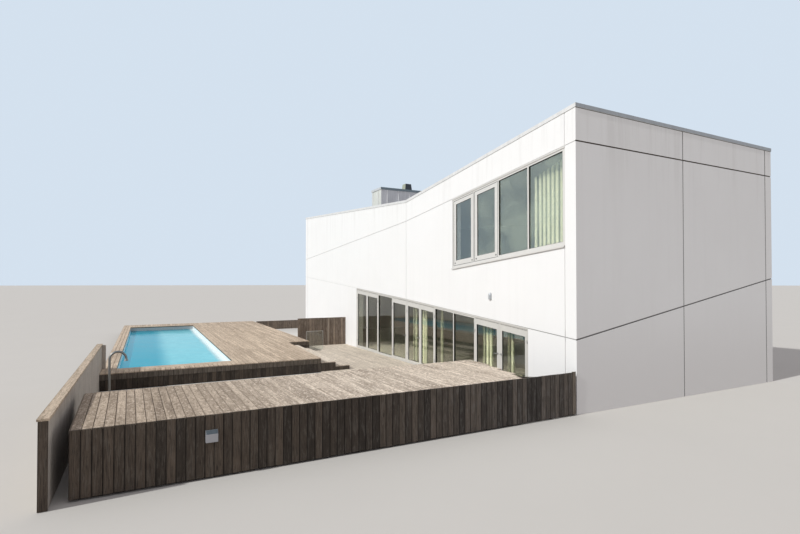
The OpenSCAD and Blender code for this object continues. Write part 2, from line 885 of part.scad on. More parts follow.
// The chimney stands on the far slope of the roof
function roof_top(y) = coping_at(y) - roof_drop + soft;
seam_t = 24;
seam_out = 28;
module chimney_box() {
    x_end = chimney_x + chimney_l;
    y_end = chimney_y + chimney_w;
    color("gainsboro") place() {
        chimney_block(chimney_x, x_end, chimney_y, y_end);
        for (x = [chimney_x + seam_pitch / 2 : seam_pitch : x_end - seam_t])
            chimney_block(x, x + seam_t, chimney_y - seam_out, y_end + seam_out);
        for (y = [chimney_y + seam_pitch / 2 : seam_pitch : y_end - seam_t])
            chimney_block(chimney_x - seam_out, x_end + seam_out, y, y + seam_t);
    }
}

// A block from the slope of the roof up to the cap
module chimney_block(x_from, x_to, y_from, y_to) {
    side_plate(x_from, x_to - x_from, [
        [y_from, roof_top(y_from)], [y_to, roof_top(y_to)],
        [y_to, chimney_top], [y_from, chimney_top]
    ]);
}

module chimney_cap() {
    color("slategray") place() translate([
        chimney_x - cap_out, chimney_y - cap_out, chimney_top
    ]) cube([chimney_l + 2 * cap_out, chimney_w + 2 * cap_out, cap_t]);
}

cowl_w = 400;
cowl_top_w = 330;
cowl_skirt_h = 60;
module flue_cowl() {
    color([0.12, 0.12, 0.13]) place() translate([
        chimney_x + cowl_x + cowl_w / 2, chimney_y + chimney_w / 2, chimney_top + cap_t
    ]) {
        hull() {
            translate([-cowl_w / 2, -cowl_w / 2, 0]) cube([cowl_w, cowl_w, cowl_skirt_h]);
            translate([-cowl_top_w / 2, -cowl_top_w / 2, cowl_h - 1])
                cube([cowl_top_w, cowl_top_w, 1]);
        }
    }
}

// Small domed hood light on the window side
lamp_y = 3240;
lamp_h = 2720;
lamp_r = 60;
lamp_drop = 200;
module wall_lamp() {
    color("silver") place() intersection() {
        translate([0, lamp_y, lamp_h - lamp_drop / 2]) union() {
            cylinder(h = lamp_drop - lamp_r, r = lamp_r);
            translate([0, 0, lamp_drop - lamp_r]) sphere(r = lamp_r);
        }
        translate([-2 * lamp_r, lamp_y - 2 * lamp_r, lamp_h - lamp_drop])
            cube([2 * lamp_r, 4 * lamp_r, 2 * lamp_drop]);
    }
}

// Front platform
module platform_deck() {
    color(timber) place() flat_plate(platform_h - board_t, board_t, platform_outline);
}

module ring(outline, out, thick) {
    difference() {
        offset(delta = out) polygon(outline);
        offset(delta = out - thick) polygon(outline);
    }
}

// Skirt boards run on past the platform to the corner of the house
run_end = 55;
module platform_skirt() {
    color(dark_timber) place() {
        translate([0, 0, plinth_h]) linear_extrude(platform_h - plinth_h)
            ring(platform_outline, skirt_t, skirt_t);
        translate([-platform_right_near, -skirt_t, plinth_h])
            cube([platform_right_near - run_end, skirt_t, platform_h - plinth_h]);
    }
}

run_rail = 45;
run_post = 95;
run_start = skirt_t + run_end - platform_right_near;
foot_w = 80;
module platform_frame() {
    color([0.2, 0.18, 0.16]) place() {
        translate([0, 0, plinth_h]) linear_extrude(platform_h - board_t - plinth_h)
            ring(platform_outline, 0, bearer_t);
        linear_extrude(plinth_h + 1) ring(platform_outline, -plinth_back, bearer_t);
        for (i = [1:3]) translate([
            -platform_left + i * (platform_left - platform_right_near) / 4, 0, 0
        ]) translate([0, plinth_back + 1, 0])
            cube([bearer_t, platform_depth - 2 * plinth_back - 2, platform_h - board_t]);
        for (z = [plinth_h + 80, platform_h - 160]) translate([run_start, 0, z])
            cube([-run_end - run_start, run_rail, run_post]);
        for (x = [-platform_right_near / 2, -run_end - run_post]) translate([x, run_rail - 1, 0])
            cube([run_post, run_post, platform_h - 60]);
        translate([-platform_right_near - 100, plinth_back, 0])
            cube([platform_right_near + 100 - run_end, foot_w, plinth_h]);
    }
}

// Square light with a sloped top on the front skirt
skirt_lamp_x = 8155;
skirt_lamp_z = 592;
skirt_lamp_w = 180;
skirt_lamp_out = 70;
skirt_lamp_slope = 54;
module skirt_lamp() {
    color("silver") place() translate([-skirt_lamp_x, -skirt_t, skirt_lamp_z])
        rotate([90, 0, 90]) linear_extrude(skirt_lamp_w)
            polygon([
                [0, 0], [0, skirt_lamp_w], [-skirt_lamp_out, skirt_lamp_w - skirt_lamp_slope],
                [-skirt_lamp_out, 0]
            ]);
}

// Pool deck with its basin
module pool_hole(grow) {
    translate([-pool_left - grow, pool_y - grow])
        square([pool_w + 2 * grow, pool_l + 2 * grow]);
}

module pool_deck() {
    color(timber) place() translate([0, 0, deck_h - deck_t]) linear_extrude(deck_t)
        difference() {
            polygon(deck_outline);
            pool_hole(0);
        }
}

module pool_deck_frame() {
    color(dark_timber) place() linear_extrude(deck_h - deck_t) ring(deck_outline, 0, bearer_t);
}

basin_floor = 60;
module pool_basin() {
    color([0.75, 0.9, 0.92]) place() difference() {
        linear_extrude(deck_h - deck_t) pool_hole(basin_t);
        translate([0, 0, basin_floor]) linear_extrude(deck_h) pool_hole(0);
    }
}

step_far = deck_right_end + 50;
tread_1 = [
    [-deck_right_near, deck_y], [-deck_right_near + tread_w, deck_y],
    [(-deck_right_far - step_far) / 2, notch_y], [-deck_right_far, notch_y]
];
tread_2 = [
    [-deck_right_near + tread_w, deck_y], [-deck_right_near + 2 * tread_w, deck_y],
    [-step_far, notch_y], [(-deck_right_far - step_far) / 2, notch_y]
];
module terrace_steps() {
    color(timber) place() {
        flat_plate(0, terrace_h + 2 * riser_h, tread_1);
        flat_plate(0, terrace_h + riser_h, tread_2);
    }
}

// The terrace fills the passage, and reaches the steps and the screen wall
terrace_left = deck_right_near;
module terrace_deck() {
    right_near = platform_right_near - skirt_t - 2;
    right_far = platform_right_far - skirt_t - 2;
    passage_y = plinth_back + foot_w + soft;
    color(timber) place() flat_plate(0, terrace_h, [
        [-right_near + 30, passage_y], [0, passage_y], [0, screen_y],
        [-deck_right_end, screen_y], [-deck_right_end, notch_y], [-step_far, notch_y],
        [-deck_right_near + 2 * tread_w, deck_y], [-terrace_left, deck_y],
        [-terrace_left, platform_depth + skirt_t + 2], [-right_far, platform_depth + skirt_t + 2]
    ]);
}

// Side fence, boarded on both sides, under a cap board. Its end post stands on the pool deck.
fence_cap_t = 35;
end_post_w = 100;
module side_fence() {
    color(dark_timber) place() {
        translate([-fence_out, -fence_front, 0])
            cube([fence_t, fence_end_y + fence_front, fence_h - fence_cap_t]);
        translate([-fence_out - cap_over, -fence_front, fence_h - fence_cap_t])
            cube([fence_t + 2 * cap_over, fence_end_y + fence_front, fence_cap_t]);
        translate([-fence_in, fence_end_y - end_post_w, deck_h])
            cube([end_post_w, end_post_w, fence_h - fence_cap_t - deck_h]);
    }
}

module screen_wall() {
    color(dark_timber) place() translate([-deck_right_end, screen_y, 0])
        cube([deck_right_end, screen_t, screen_h]);
}

module low_wall() {
    color(dark_timber) place() translate([-deck_right_end, low_wall_y, 0])
        cube([low_wall_l, screen_t, low_wall_h]);
}

guard_t = 17;
module glass_guard() {
    color(glass_tint) place() translate([-deck_right_end, guard_y, terrace_h])
        cube([guard_l, guard_t, guard_h - terrace_h]);
}

// Gooseneck standpipe, clipped to the back skirt of the platform
nozzle_h = 45;
clip_w = 60;
clip_h = 30;
module standpipe() {
    wall_y = platform_depth + skirt_t + soft;
    color(steel) place() translate([-pipe_x, wall_y + pipe_r, 0]) {
        cylinder(h = pipe_h, r = pipe_r);
        translate([pipe_bend, 0, pipe_h]) rotate([90, 0, 0]) rotate_extrude(angle = 180)
            translate([pipe_bend, 0]) circle(r = pipe_r);
        translate([2 * pipe_bend, 0, pipe_h - nozzle_h])
            cylinder(h = nozzle_h, r1 = 1.7 * pipe_r, r2 = pipe_r);
        for (z = [plinth_h + 150, platform_h - 150]) translate([-clip_w / 2, -pipe_r, z])
            cube([clip_w, pipe_r, clip_h]);
    }
}

ground_floor();
upper_floor();
roof_near_slope();
roof_far_slope();
roof_coping();
facade_top_near();
facade_top_far();
facade_middle_near();
facade_middle_far();
facade_low_near();
facade_low_far();
gable_wall_near();
gable_wall_far();
back_wall_near();
back_wall_middle();
back_wall_far();
end_wall();
upper_window_frame();
upper_window_sashes();
upper_window_glass();
lower_window_frame();
lower_window_glass();
back_window_frames();
back_window_glass();
door_1_leaf();
door_2_leaf();
door_3_leaf();
door_4_leaf();
door_5_leaf();
door_6_leaf();
door_7_leaf();
door_1_glass();
door_2_glass();
door_3_glass();
door_4_glass();
door_5_glass();
door_6_glass();
door_7_glass();
curtains();
chimney_box();
chimney_cap();
flue_cowl();
wall_lamp();
platform_deck();
platform_skirt();
platform_frame();
skirt_lamp();
pool_deck();
pool_deck_frame();
pool_basin();
terrace_deck();
terrace_steps();
side_fence();
screen_wall();
low_wall();
glass_guard();
standpipe();
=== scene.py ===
"""Beach house: timber boards, panels, glass, metal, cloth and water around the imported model."""
import math
import random
from fnmatch import fnmatch
from functools import partialmethod

import bpy
import numpy as np
from mathutils import Matrix, Vector


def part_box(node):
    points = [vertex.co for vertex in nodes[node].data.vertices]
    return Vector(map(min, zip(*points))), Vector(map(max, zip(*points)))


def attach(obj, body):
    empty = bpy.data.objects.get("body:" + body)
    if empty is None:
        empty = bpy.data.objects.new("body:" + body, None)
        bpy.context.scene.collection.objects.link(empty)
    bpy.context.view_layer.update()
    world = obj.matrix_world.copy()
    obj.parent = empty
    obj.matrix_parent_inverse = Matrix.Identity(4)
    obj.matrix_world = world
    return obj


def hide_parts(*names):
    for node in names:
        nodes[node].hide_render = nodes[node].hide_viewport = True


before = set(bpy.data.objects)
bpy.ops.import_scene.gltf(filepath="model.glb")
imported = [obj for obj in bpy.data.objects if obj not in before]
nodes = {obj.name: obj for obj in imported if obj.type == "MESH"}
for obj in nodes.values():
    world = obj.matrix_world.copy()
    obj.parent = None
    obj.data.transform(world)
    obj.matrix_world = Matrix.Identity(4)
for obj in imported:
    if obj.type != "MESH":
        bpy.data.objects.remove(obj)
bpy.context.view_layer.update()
HOUSE = "house"
BEYOND = 99.0


# Camera, light and surroundings

CAMERA_AT = (-8.159, -21.363, 3.091)
CAMERA_TURN = -27.465
CAMERA_UP = 0.81
LENS = 21.99
SENSOR = 36
SHIFT_Y = 0.0119
SEEN_TO = 3000
SUN_FROM = (-0.80, -0.055, 0.585)
SUN_STRENGTH = 2.61
SUN_ANGLE = 1.6
SUN_COLOUR = (0.985, 1.0, 0.985)
SKY_LIGHT = (0.903, 0.886, 0.944)
SKY_LEVEL = 0.515
SKY_SEEN = (0.66, 0.755, 0.86)
FLOOR_COLOUR = (0.65, 0.625, 0.585)
FLOOR_RADIUS = 900.0
FLOOR_SIDES = 96
FLOOR_DROP = 0.002


def in_scene(name, data):
    obj = bpy.data.objects.new(name, data)
    bpy.context.scene.collection.objects.link(obj)
    return obj


def place_camera():
    camera = in_scene("camera", bpy.data.cameras.new("camera"))
    camera.location = CAMERA_AT
    camera.rotation_euler = (math.radians(90 + CAMERA_UP), 0, math.radians(CAMERA_TURN))
    camera.data.lens = LENS
    camera.data.sensor_width = SENSOR
    camera.data.shift_y = SHIFT_Y
    camera.data.clip_end = SEEN_TO
    bpy.context.scene.camera = camera


def place_light():
    sun = in_scene("sun", bpy.data.lights.new("sun", "SUN"))
    sun.data.energy = SUN_STRENGTH
    sun.data.angle = math.radians(SUN_ANGLE)
    sun.data.color = SUN_COLOUR
    sun.rotation_euler = Vector(SUN_FROM).to_track_quat("Z", "Y").to_euler()


def paint_world():
    """Even light from all round; the camera, mirrors and glass see a pale sky."""
    world = bpy.data.worlds.new("sky")
    bpy.context.scene.world = world
    n = Nodes(world)
    path = n.add("LightPath").outputs
    seen = n.wire(n.add("Background"), SKY_SEEN)
    light = n.wire(n.add("Background"), SKY_LIGHT, SKY_LEVEL)
    direct = n.most(n.most(path["Is Camera Ray"], path["Is Glossy Ray"]), path["Is Transmission Ray"])
    n.feed(n.blend(direct, light, seen), n.add("OutputWorld").inputs[0])


# Node helpers for materials

FACING = 0.7


class Nodes:
    """The nodes of a material or a world, with short calls for those used here.

    base is the base colour, as far as it has been laid.
    """

    def __init__(self, owner):
        owner.use_nodes = True
        self.owner = owner
        self.tree = owner.node_tree
        self.tree.nodes.clear()
        self.base = None

    def add(self, kind, **settings):
        node = self.tree.nodes.new("ShaderNode" + kind)
        for key, value in settings.items():
            setattr(node, key, value)
        return node

    def feed(self, value, target):
        """Links an output to a socket, or sets the socket's own value."""
        if hasattr(value, "is_output"):
            self.tree.links.new(value, target)
        elif hasattr(value, "__len__") and len(value) == 3 and len(target.default_value) == 4:
            target.default_value = (*value, 1)
        else:
            target.default_value = value

    def wire(self, node, *values):
        """Feeds a node's first sockets in order and gives its first output."""
        for value, target in zip(values, node.inputs):
            self.feed(value, target)
        return node.outputs[0]

    def fill(self, node, **inputs):
        """Feeds a node's sockets by name and gives its first output."""
        for name, value in inputs.items():
            self.feed(value, node.inputs[name.replace("_", " ")])
        return node.outputs[0]

    def place(self, scale=(1, 1, 1), attribute=None, offset=(0, 0, 0)):
        """Coordinates in metres: of the object, or the grain of a board."""
        if attribute:
            source = self.add("Attribute", attribute_name=attribute).outputs["Vector"]
        else:
            source = self.add("TexCoord").outputs["Object"]
        return self.fill(self.add("Mapping"), Vector=source, Scale=scale, Location=offset)

    def noise(self, vector, scale=1.0, detail=4.0, rough=0.55, distortion=0.0):
        return self.fill(self.add("TexNoise"), Vector=vector, Scale=scale, Detail=detail,
                         Roughness=rough, Distortion=distortion)

    def ramp(self, value, low, high, smooth=True):
        node = self.add("MapRange", interpolation_type="SMOOTHSTEP" if smooth else "LINEAR")
        return self.wire(node, value, low, high)

    def math(self, operation, a, b=0):
        return self.wire(self.add("Math", operation=operation), a, b)

    plus = partialmethod(math, "ADD")
    minus = partialmethod(math, "SUBTRACT")
    most = partialmethod(math, "MAXIMUM")
    least = partialmethod(math, "MINIMUM")
    more_than = partialmethod(math, "GREATER_THAN")
    less_than = partialmethod(math, "LESS_THAN")
    size = partialmethod(math, "ABSOLUTE")
    fraction = partialmethod(math, "FRACT")

    def times(self, *values):
        out = values[0]
        for value in values[1:]:
            out = self.math("MULTIPLY", out, value)
        return out

    def mix(self, factor, a, b, blend="MIX"):
        node = self.add("Mix", data_type="RGBA", blend_type=blend)
        for value, socket in ((factor, 0), (a, 6), (b, 7)):
            self.feed(value, node.inputs[socket])
        return node.outputs[2]

    def coat(self, mask, colour, strength=None, blend="MIX"):
        """Lays a colour over the base where the mask is 1, as strongly as given."""
        if strength is not None:
            mask = self.times(mask, strength)
        self.base = self.mix(mask, self.base, colour, blend)

    def blend(self, factor, a, b):
        """A mix of two shaders."""
        return self.wire(self.add("MixShader"), factor, a, b)

    def parts(self, vector=None):
        """X, Y and Z of a vector, or of the place on the object."""
        node = self.add("SeparateXYZ")
        self.feed(self.place() if vector is None else vector, node.inputs[0])
        return node.outputs

    def facing(self, axis, sign=0):
        """1 where the surface faces along an axis: both ways, or one way with a sign."""
        part = self.parts(self.add("TexCoord").outputs["Normal"])[axis]
        return self.more_than(self.times(part, sign) if sign else self.size(part), FACING)

    def between(self, value, low, high):
        return self.times(self.more_than(value, low), self.less_than(value, high))

    def near(self, value, spot, reach):
        return self.less_than(self.size(self.minus(value, spot)), reach)

    def bump(self, height, strength, distance):
        normal = self.add("Bump")
        self.fill(normal, Height=height, Strength=strength, Distance=distance)
        self.feed(normal.outputs[0], self.shader.inputs["Normal"])

    def finish(self, height, strength, distance, **inputs):
        """Sets the shader over the base colour, adds a bump, and gives the material."""
        self.fill(self.shader, Base_Color=self.base, **inputs)
        self.bump(height, strength, distance)
        return self.owner


def surface(name):
    """A new material's nodes, with its shader joined to the output."""
    n = Nodes(bpy.data.materials.new(name))
    n.out, n.shader = n.add("OutputMaterial"), n.add("BsdfPrincipled")
    n.feed(n.shader.outputs[0], n.out.inputs[0])
    return n


def shade(colour, share):
    return tuple(c * share for c in colour)


# Materials

SEAL_DEPTH = (0.0015, 0.030)
LOW_JOINT = (1.68, 1.95)
UPRIGHT_JOINTS = (0.0115, 0.0115)
JOINT_RIMS = (0.017, 0.023)


def wall_material():
    """White coated panels: faint clouds and rain marks, splashed feet, painted shade low on the blank
    ends, and sealed joints, pale on the long walls and dark on the blank ends, both partly painted light
    and shade.
    """
    n = surface("white_wall")
    x, y, z = n.parts()
    clouds = n.noise(n.place(), 0.55, 3)
    streaks = n.noise(n.place((2.6, 2.6, 0.14)), 1.9, 5, 0.62)
    dirt = n.noise(n.place((1, 1, 0.5)), 2.4, 5, 0.65)
    n.base = n.mix(n.ramp(clouds, 0.3, 0.7), (0.846, 0.841, 0.834), (0.862, 0.858, 0.852))
    n.coat(n.ramp(streaks, 0.46, 0.74), (0.79, 0.782, 0.772), n.plus(n.ramp(z, 5.0, 7.3), 0.22))
    n.coat(n.ramp(z, 0.6, 0.0), (0.75, 0.73, 0.70), n.ramp(dirt, 0.46, 0.80))
    # Painted shade: the blank ends grow darker towards their foot.
    n.coat(n.ramp(z, 3.0, 0.2), (0.765, 0.75, 0.74), n.facing(1))

    def inside(value, low, high):
        """1 within the depth of the grooves, from the faces at both ends of an axis."""
        return n.between(n.least(n.minus(value, low), n.minus(high, value)), *SEAL_DEPTH)

    def by_upright(reaches):
        """1 near the two upright joints of the blank end."""
        at = (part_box("gable_wall_near")[1].x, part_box("gable_wall_far")[1].x)
        return n.most(*(n.near(x, spot, reach) for spot, reach in zip(at, reaches)))

    low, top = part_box("facade_low_near")[0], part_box("back_wall_far")[1]
    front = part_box("gable_wall_near")[0].y
    level = n.facing(2)
    in_x, in_y = inside(x, low.x, top.x), inside(y, front, top.y)
    upright, rim = by_upright(UPRIGHT_JOINTS), by_upright(JOINT_RIMS)
    rim = n.times(rim, n.facing(1), n.less_than(y, front + 0.05))
    # Joints of the blank ends: dark seal colour with painted shade, darker higher up; the upright ones a
    # little lighter.
    dark = n.mix(n.ramp(z, 4.0, 5.2), (0.21, 0.204, 0.196), (0.085, 0.068, 0.052))
    dark = n.mix(upright, dark, (0.14, 0.135, 0.128))
    # Joints of the long walls: pale, painted light that makes up for the grooves' own shadow on the
    # sunlit side; darker along the joint between the LOW_JOINT heights.
    pale = n.mix(n.between(z, *LOW_JOINT), (0.80, 0.795, 0.785), (0.40, 0.395, 0.385))
    n.coat(in_x, pale, n.most(n.facing(0), level))
    # Painted shade in a narrow band on the face of the near blank end, beside each upright joint.
    n.coat(rim, dark, 0.55)
    n.coat(in_y, dark, n.most(n.facing(1), level))
    # Painted shade: the sides of the upright grooves of the blank ends are near black.
    n.coat(in_y, (0.03, 0.029, 0.028), n.times(upright, n.facing(0)))
    return n.finish(n.noise(n.place(), 90, 3), 0.12, 0.002, Roughness=0.82, Specular_IOR_Level=0.3)


def cloud_paint(n, colour, broad, close):
    """Lays paint with clouds; broad and close are (strength, share of the colour) of their marks."""
    cloud = n.ramp(n.noise(n.place(), 3.0, 4), 0.35, 0.7)
    fine = n.ramp(n.noise(n.place(), 40.0, 3), 0.35, 0.75)
    n.base = n.mix(n.times(cloud, broad[0]), colour, shade(colour, broad[1]))
    n.coat(fine, shade(colour, close[1]), close[0])
    return fine


def painted(name, colour, rough, wear):
    """Powder-coated metal with slight clouding and dust."""
    n = surface(name)
    fine = cloud_paint(n, colour, (1.0, 1 - wear), (0.4, 1 - wear))
    return n.finish(fine, 0.05, 0.0006, Roughness=rough)


FRAME_PAINT = (0.632, 0.617, 0.578)
UPPER_PAINT = (0.70, 0.685, 0.655)
HALF_LEAF = 0.030


def frame_face():
    """The outer face of the window frames, from the middle of the glass of a door."""
    low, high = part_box("door_1_glass")
    return (low.x + high.x) / 2 - HALF_LEAF


def fitted_paint(name, colour, nearest=None, upright_only=False):
    """Frame paint, which is dark on the sides behind the glass.

    Where nearest is given, what stands proud of the frames' face, out to that x, is bare steel.
    """
    n = surface(name)
    fine = cloud_paint(n, colour, (0.6, 0.93), (0.3, 0.88))
    x = n.parts()[0]
    behind = n.more_than(x, frame_face() + HALF_LEAF)
    n.coat(behind, (0.016, 0.016, 0.014), n.minus(1.0, n.facing(0)))
    gloss = {"Roughness": 0.42}
    if nearest is not None:
        steel = n.between(x, nearest, frame_face() - 0.0012)
        if upright_only:
            steel = n.times(steel, n.minus(1.0, n.facing(2)))
        n.coat(steel, (0.42, 0.42, 0.41))
        gloss = {"Metallic": n.times(steel, 0.9), "Roughness": n.minus(0.42, n.times(steel, 0.12))}
    return n.finish(fine, 0.05, 0.0006, **gloss)


def sheet_metal(name, colour, rough, metallic, painted_shade, flat_side_and_glints=None):
    """Folded sheet with long faint streaks.

    The colour given for faces along the blank ends is painted shade, on the coping also a painted bluish
    reflection of the sky. The last argument is (x, colour, y): the place and the duller colour of the
    flat side towards the windows, which leaves the seams' sunlit sides brighter as a painted highlight,
    and the place of the seams' outer edges, painted white as a highlight.
    """
    n = surface(name)
    # Painted shade: faces along the blank ends take their own colour.
    n.base = n.mix(n.facing(1), colour, painted_shade)
    if flat_side_and_glints:
        x, y, _ = n.parts()
        # A duller flat side leaves the seams' sunlit sides brighter: a painted highlight.
        n.coat(n.near(x, flat_side_and_glints[0], 0.01), flat_side_and_glints[1], n.facing(0))
        # Painted highlight: the seams' outer edges are white.
        n.coat(n.near(y, flat_side_and_glints[2], 0.006), (1.0, 1.0, 1.0), n.facing(1))
    streak = n.noise(n.place((3, 3, 0.4)), 3.0, 5, 0.6)
    n.coat(n.ramp(streak, 0.35, 0.72), (0.1, 0.1, 0.1), 0.14)
    n.coat(n.ramp(n.noise(n.place(), 14.0, 5), 0.5, 0.75), (0.1, 0.1, 0.1), 0.10)
    return n.finish(n.noise(n.place(), 1.7, 2), 0.25, 0.006, Metallic=metallic, Roughness=rough)


SCREWS_EVERY = 0.6
SCREW_ROWS = (0.066, 0.036)
SCREW_RADIUS = 0.0038
DIRTY_EDGE = 0.012


def timber(name, pale, dark, deep, stain, knots=0.5, wear_and_shade=None, flecks=0.0, blotches=1.0,
           patches=0.0):
    """Weathered boards: long grain, blotches, knots, screws, and a tone for each board.

    The attribute grain is (along, across, depth) in metres from the board's own edge.
    The argument after knots is (x where the change starts, x where it is full, colour it multiplies by):
    grey wear on the front deck, and on the skirt painted bluish skylight, lighter to its right. flecks,
    blotches and patches are the strengths of small spots, marks on a board and marks over several boards.
    """
    n = surface(name)

    def grained(scale, *settings):
        return n.noise(n.place(scale, "grain"), *settings)

    grain = grained((1.3, 34, 34), 3.0, 6, 0.62, 0.25)
    blotch = grained((3.2, 19, 19), 1.0, 4, 0.66, 0.8)
    tone = n.add("Attribute", attribute_name="tone").outputs["Fac"]
    n.base = n.mix(n.ramp(tone, 0.0, 1.0, False), dark, pale)
    n.coat(n.ramp(grained((0.7, 9, 9), 1.6, 4, 0.6, 0.6), 0.42, 0.66), dark, 0.65 * blotches)
    n.coat(n.ramp(blotch, 0.50, 0.62), stain, 0.55 * blotches)
    n.coat(n.ramp(blotch, 0.44, 0.34), deep, 0.50 * blotches)
    n.coat(n.ramp(grain, 0.46, 0.70), deep, 0.75)
    n.coat(n.ramp(grained((6, 22, 22), 3.0, 5, 0.7), 0.56, 0.72), stain, 0.55 * blotches)
    n.coat(n.ramp(n.noise(n.place(), 2.6, 5, 0.62), 0.50, 0.72), deep, 0.35 * blotches)
    if patches:
        streaks = n.ramp(grained((0.5, 5, 5), 1.3, 3, 0.6), 0.46, 0.56)
        wide = n.ramp(n.noise(n.place((1.3, 0.5, 1)), 0.8, 3, 0.55), 0.46, 0.60)
        n.coat(n.times(streaks, n.plus(n.times(wide, 0.7), 0.3)), deep, patches)
    if flecks:
        fleck = grained((15, 24, 24), 1.0, 3, 0.72)
        n.coat(n.ramp(fleck, 0.55, 0.64), stain, flecks)
        n.coat(n.ramp(fleck, 0.44, 0.35), deep, flecks)
    # Grey wear, or painted bluish skylight on the skirt, multiplied in along x.
    if wear_and_shade:
        n.coat(n.ramp(n.parts()[0], wear_and_shade[0], wear_and_shade[1]), wear_and_shade[2], blend="MULTIPLY")
    knot = n.add("TexVoronoi", feature="F1")
    n.fill(knot, Vector=n.place((1.0, 4.4, 0.01), "grain"), Scale=1.15)
    spot = n.ramp(knot.outputs["Distance"], 0.085, 0.03)
    n.coat(spot, shade(deep, 0.45), knots)
    along, across, _ = n.parts(n.place(attribute="grain"))
    across = n.fraction(across)
    n.coat(n.less_than(across, DIRTY_EDGE), deep, 0.5)
    a = n.math("PINGPONG", along, SCREWS_EVERY / 2)
    b = n.minus(n.size(n.minus(across, SCREW_ROWS[0])), SCREW_ROWS[1])
    screw = n.less_than(n.plus(n.times(a, a), n.times(b, b)), SCREW_RADIUS ** 2)
    n.coat(screw, shade(deep, 0.4), 0.8)
    height = n.minus(n.plus(grain, n.times(spot, -0.6)), screw)
    return n.finish(height, 0.55, 0.0035, Roughness=0.86, Specular_IOR_Level=0.25)


def glass_material(name, colour, ior, clear, haze=None, sheen=(1.0, 1.0, 1.0)):
    """Tinted glass; clear is the share of the lamps' light that it lets through.

    sheen is the tint of what the glass mirrors.
    haze is (least, most, colour, y): a thin film of salt, the least and most light that it scatters,
    its colour, and the y past which it thins out.
    """
    n = surface(name)
    n.fill(n.shader, Base_Color=colour, Roughness=0.0, IOR=ior, Transmission_Weight=1.0,
           Specular_Tint=sheen)
    n.bump(n.noise(n.place(), 0.55, 1), 0.05, 0.012)
    pane = n.shader.outputs[0]
    if haze:
        least, most, film, past = haze
        cloud = n.ramp(n.noise(n.place((1, 0.8, 1), offset=(0, 0.9, 0)), 0.95, 4, 0.55, 0.4), 0.40, 0.64)
        share = n.plus(n.times(cloud, most - least), least)
        share = n.times(share, n.ramp(n.parts()[1], past + 0.5, past - 0.9))
        pane = n.blend(share, pane, n.wire(n.add("BsdfDiffuse"), film))
    through = n.wire(n.add("BsdfTransparent"), clear)
    n.feed(n.blend(n.add("LightPath").outputs["Is Shadow Ray"], pane, through), n.out.inputs[0])
    return n.owner


SHADED_FLOOR = 1.21
WATER_GAP = 0.23
WALL_SHADE = WATER_GAP * SUN_FROM[0] / -SUN_FROM[2]


def water_material(low, high):
    """Pool water, whose colour comes from the floor and walls under it.

    Light and shade are painted into that colour: patches of painted caustics, painted shade over the part
    of the floor in shadow, painted reflection and shade of the far wall at the far end, and painted
    light, nearly white, by the sunlit wall.
    It is darker towards the near end. The narrow shadow of the coping lies on the water, and its colour
    there is painted brighter to make up for that.
    """
    n = surface("pool_water")
    x, y, _ = n.parts()
    at = n.plus(x, n.times(n.noise(n.place((1, 0.5, 1)), 0.9, 2), 0.16))
    shaded_to, wall_to = low.x + SHADED_FLOOR, low.x + WALL_SHADE
    # Painted caustics: brighter patches in the colour of the floor.
    painted_caustic = n.ramp(n.noise(n.place((1, 0.7, 1)), 2.2, 3, 0.55, 1.2), 0.40, 0.66)
    n.base = n.mix(n.times(painted_caustic, 0.6), (0.185, 0.63, 0.735), (0.245, 0.71, 0.81))
    n.coat(n.ramp(y, low.y + 2.4, low.y), (0.14, 0.57, 0.69), 0.5)
    # Painted shade over the part of the floor in the shadow of the left wall.
    n.coat(n.ramp(at, shaded_to + 0.60, shaded_to - 0.02), (0.012, 0.385, 0.53))
    # Painted light: brighter where the coping's shadow lies on the water, to make up for it.
    n.coat(n.ramp(x, wall_to + 0.01, wall_to - 0.02), (0.05, 0.63, 0.86))
    # Painted reflection and shade of the far wall.
    n.coat(n.ramp(y, high.y - 2.0, high.y - 0.2), (0.02, 0.20, 0.27), 0.8)
    # Painted light by the sunlit right wall.
    n.coat(n.ramp(at, high.x - 0.24, high.x + 0.02), (0.74, 0.86, 0.87))
    ripple = n.noise(n.place((1, 1.6, 1)), 5.0, 3, 0.5, 0.6)
    return n.finish(ripple, 0.15, 0.02, Roughness=0.05, IOR=1.05, Specular_IOR_Level=0.5)


TILES_PER_METRE = 18


def liner_material():
    """Pale liner, with level slats on the two short walls and square tiles elsewhere."""
    n = surface("pool_liner")
    tiles = n.add("TexVoronoi", feature="F1", distance="CHEBYCHEV")
    n.fill(tiles, Vector=n.place(), Scale=TILES_PER_METRE, Randomness=0.0)
    joint = n.ramp(tiles.outputs["Distance"], 0.44, 0.48)
    n.base = n.mix(n.noise(n.place(), 9, 2), (0.80, 0.85, 0.86), (0.87, 0.90, 0.90))
    n.coat(joint, (0.76, 0.79, 0.79))
    slat = n.less_than(n.fraction(n.times(n.parts()[2], TILES_PER_METRE)), 0.22)
    n.coat(n.facing(1), n.mix(slat, (0.60, 0.62, 0.63), (0.20, 0.21, 0.215)))
    return n.finish(joint, 0.2, -0.001, Roughness=0.35)


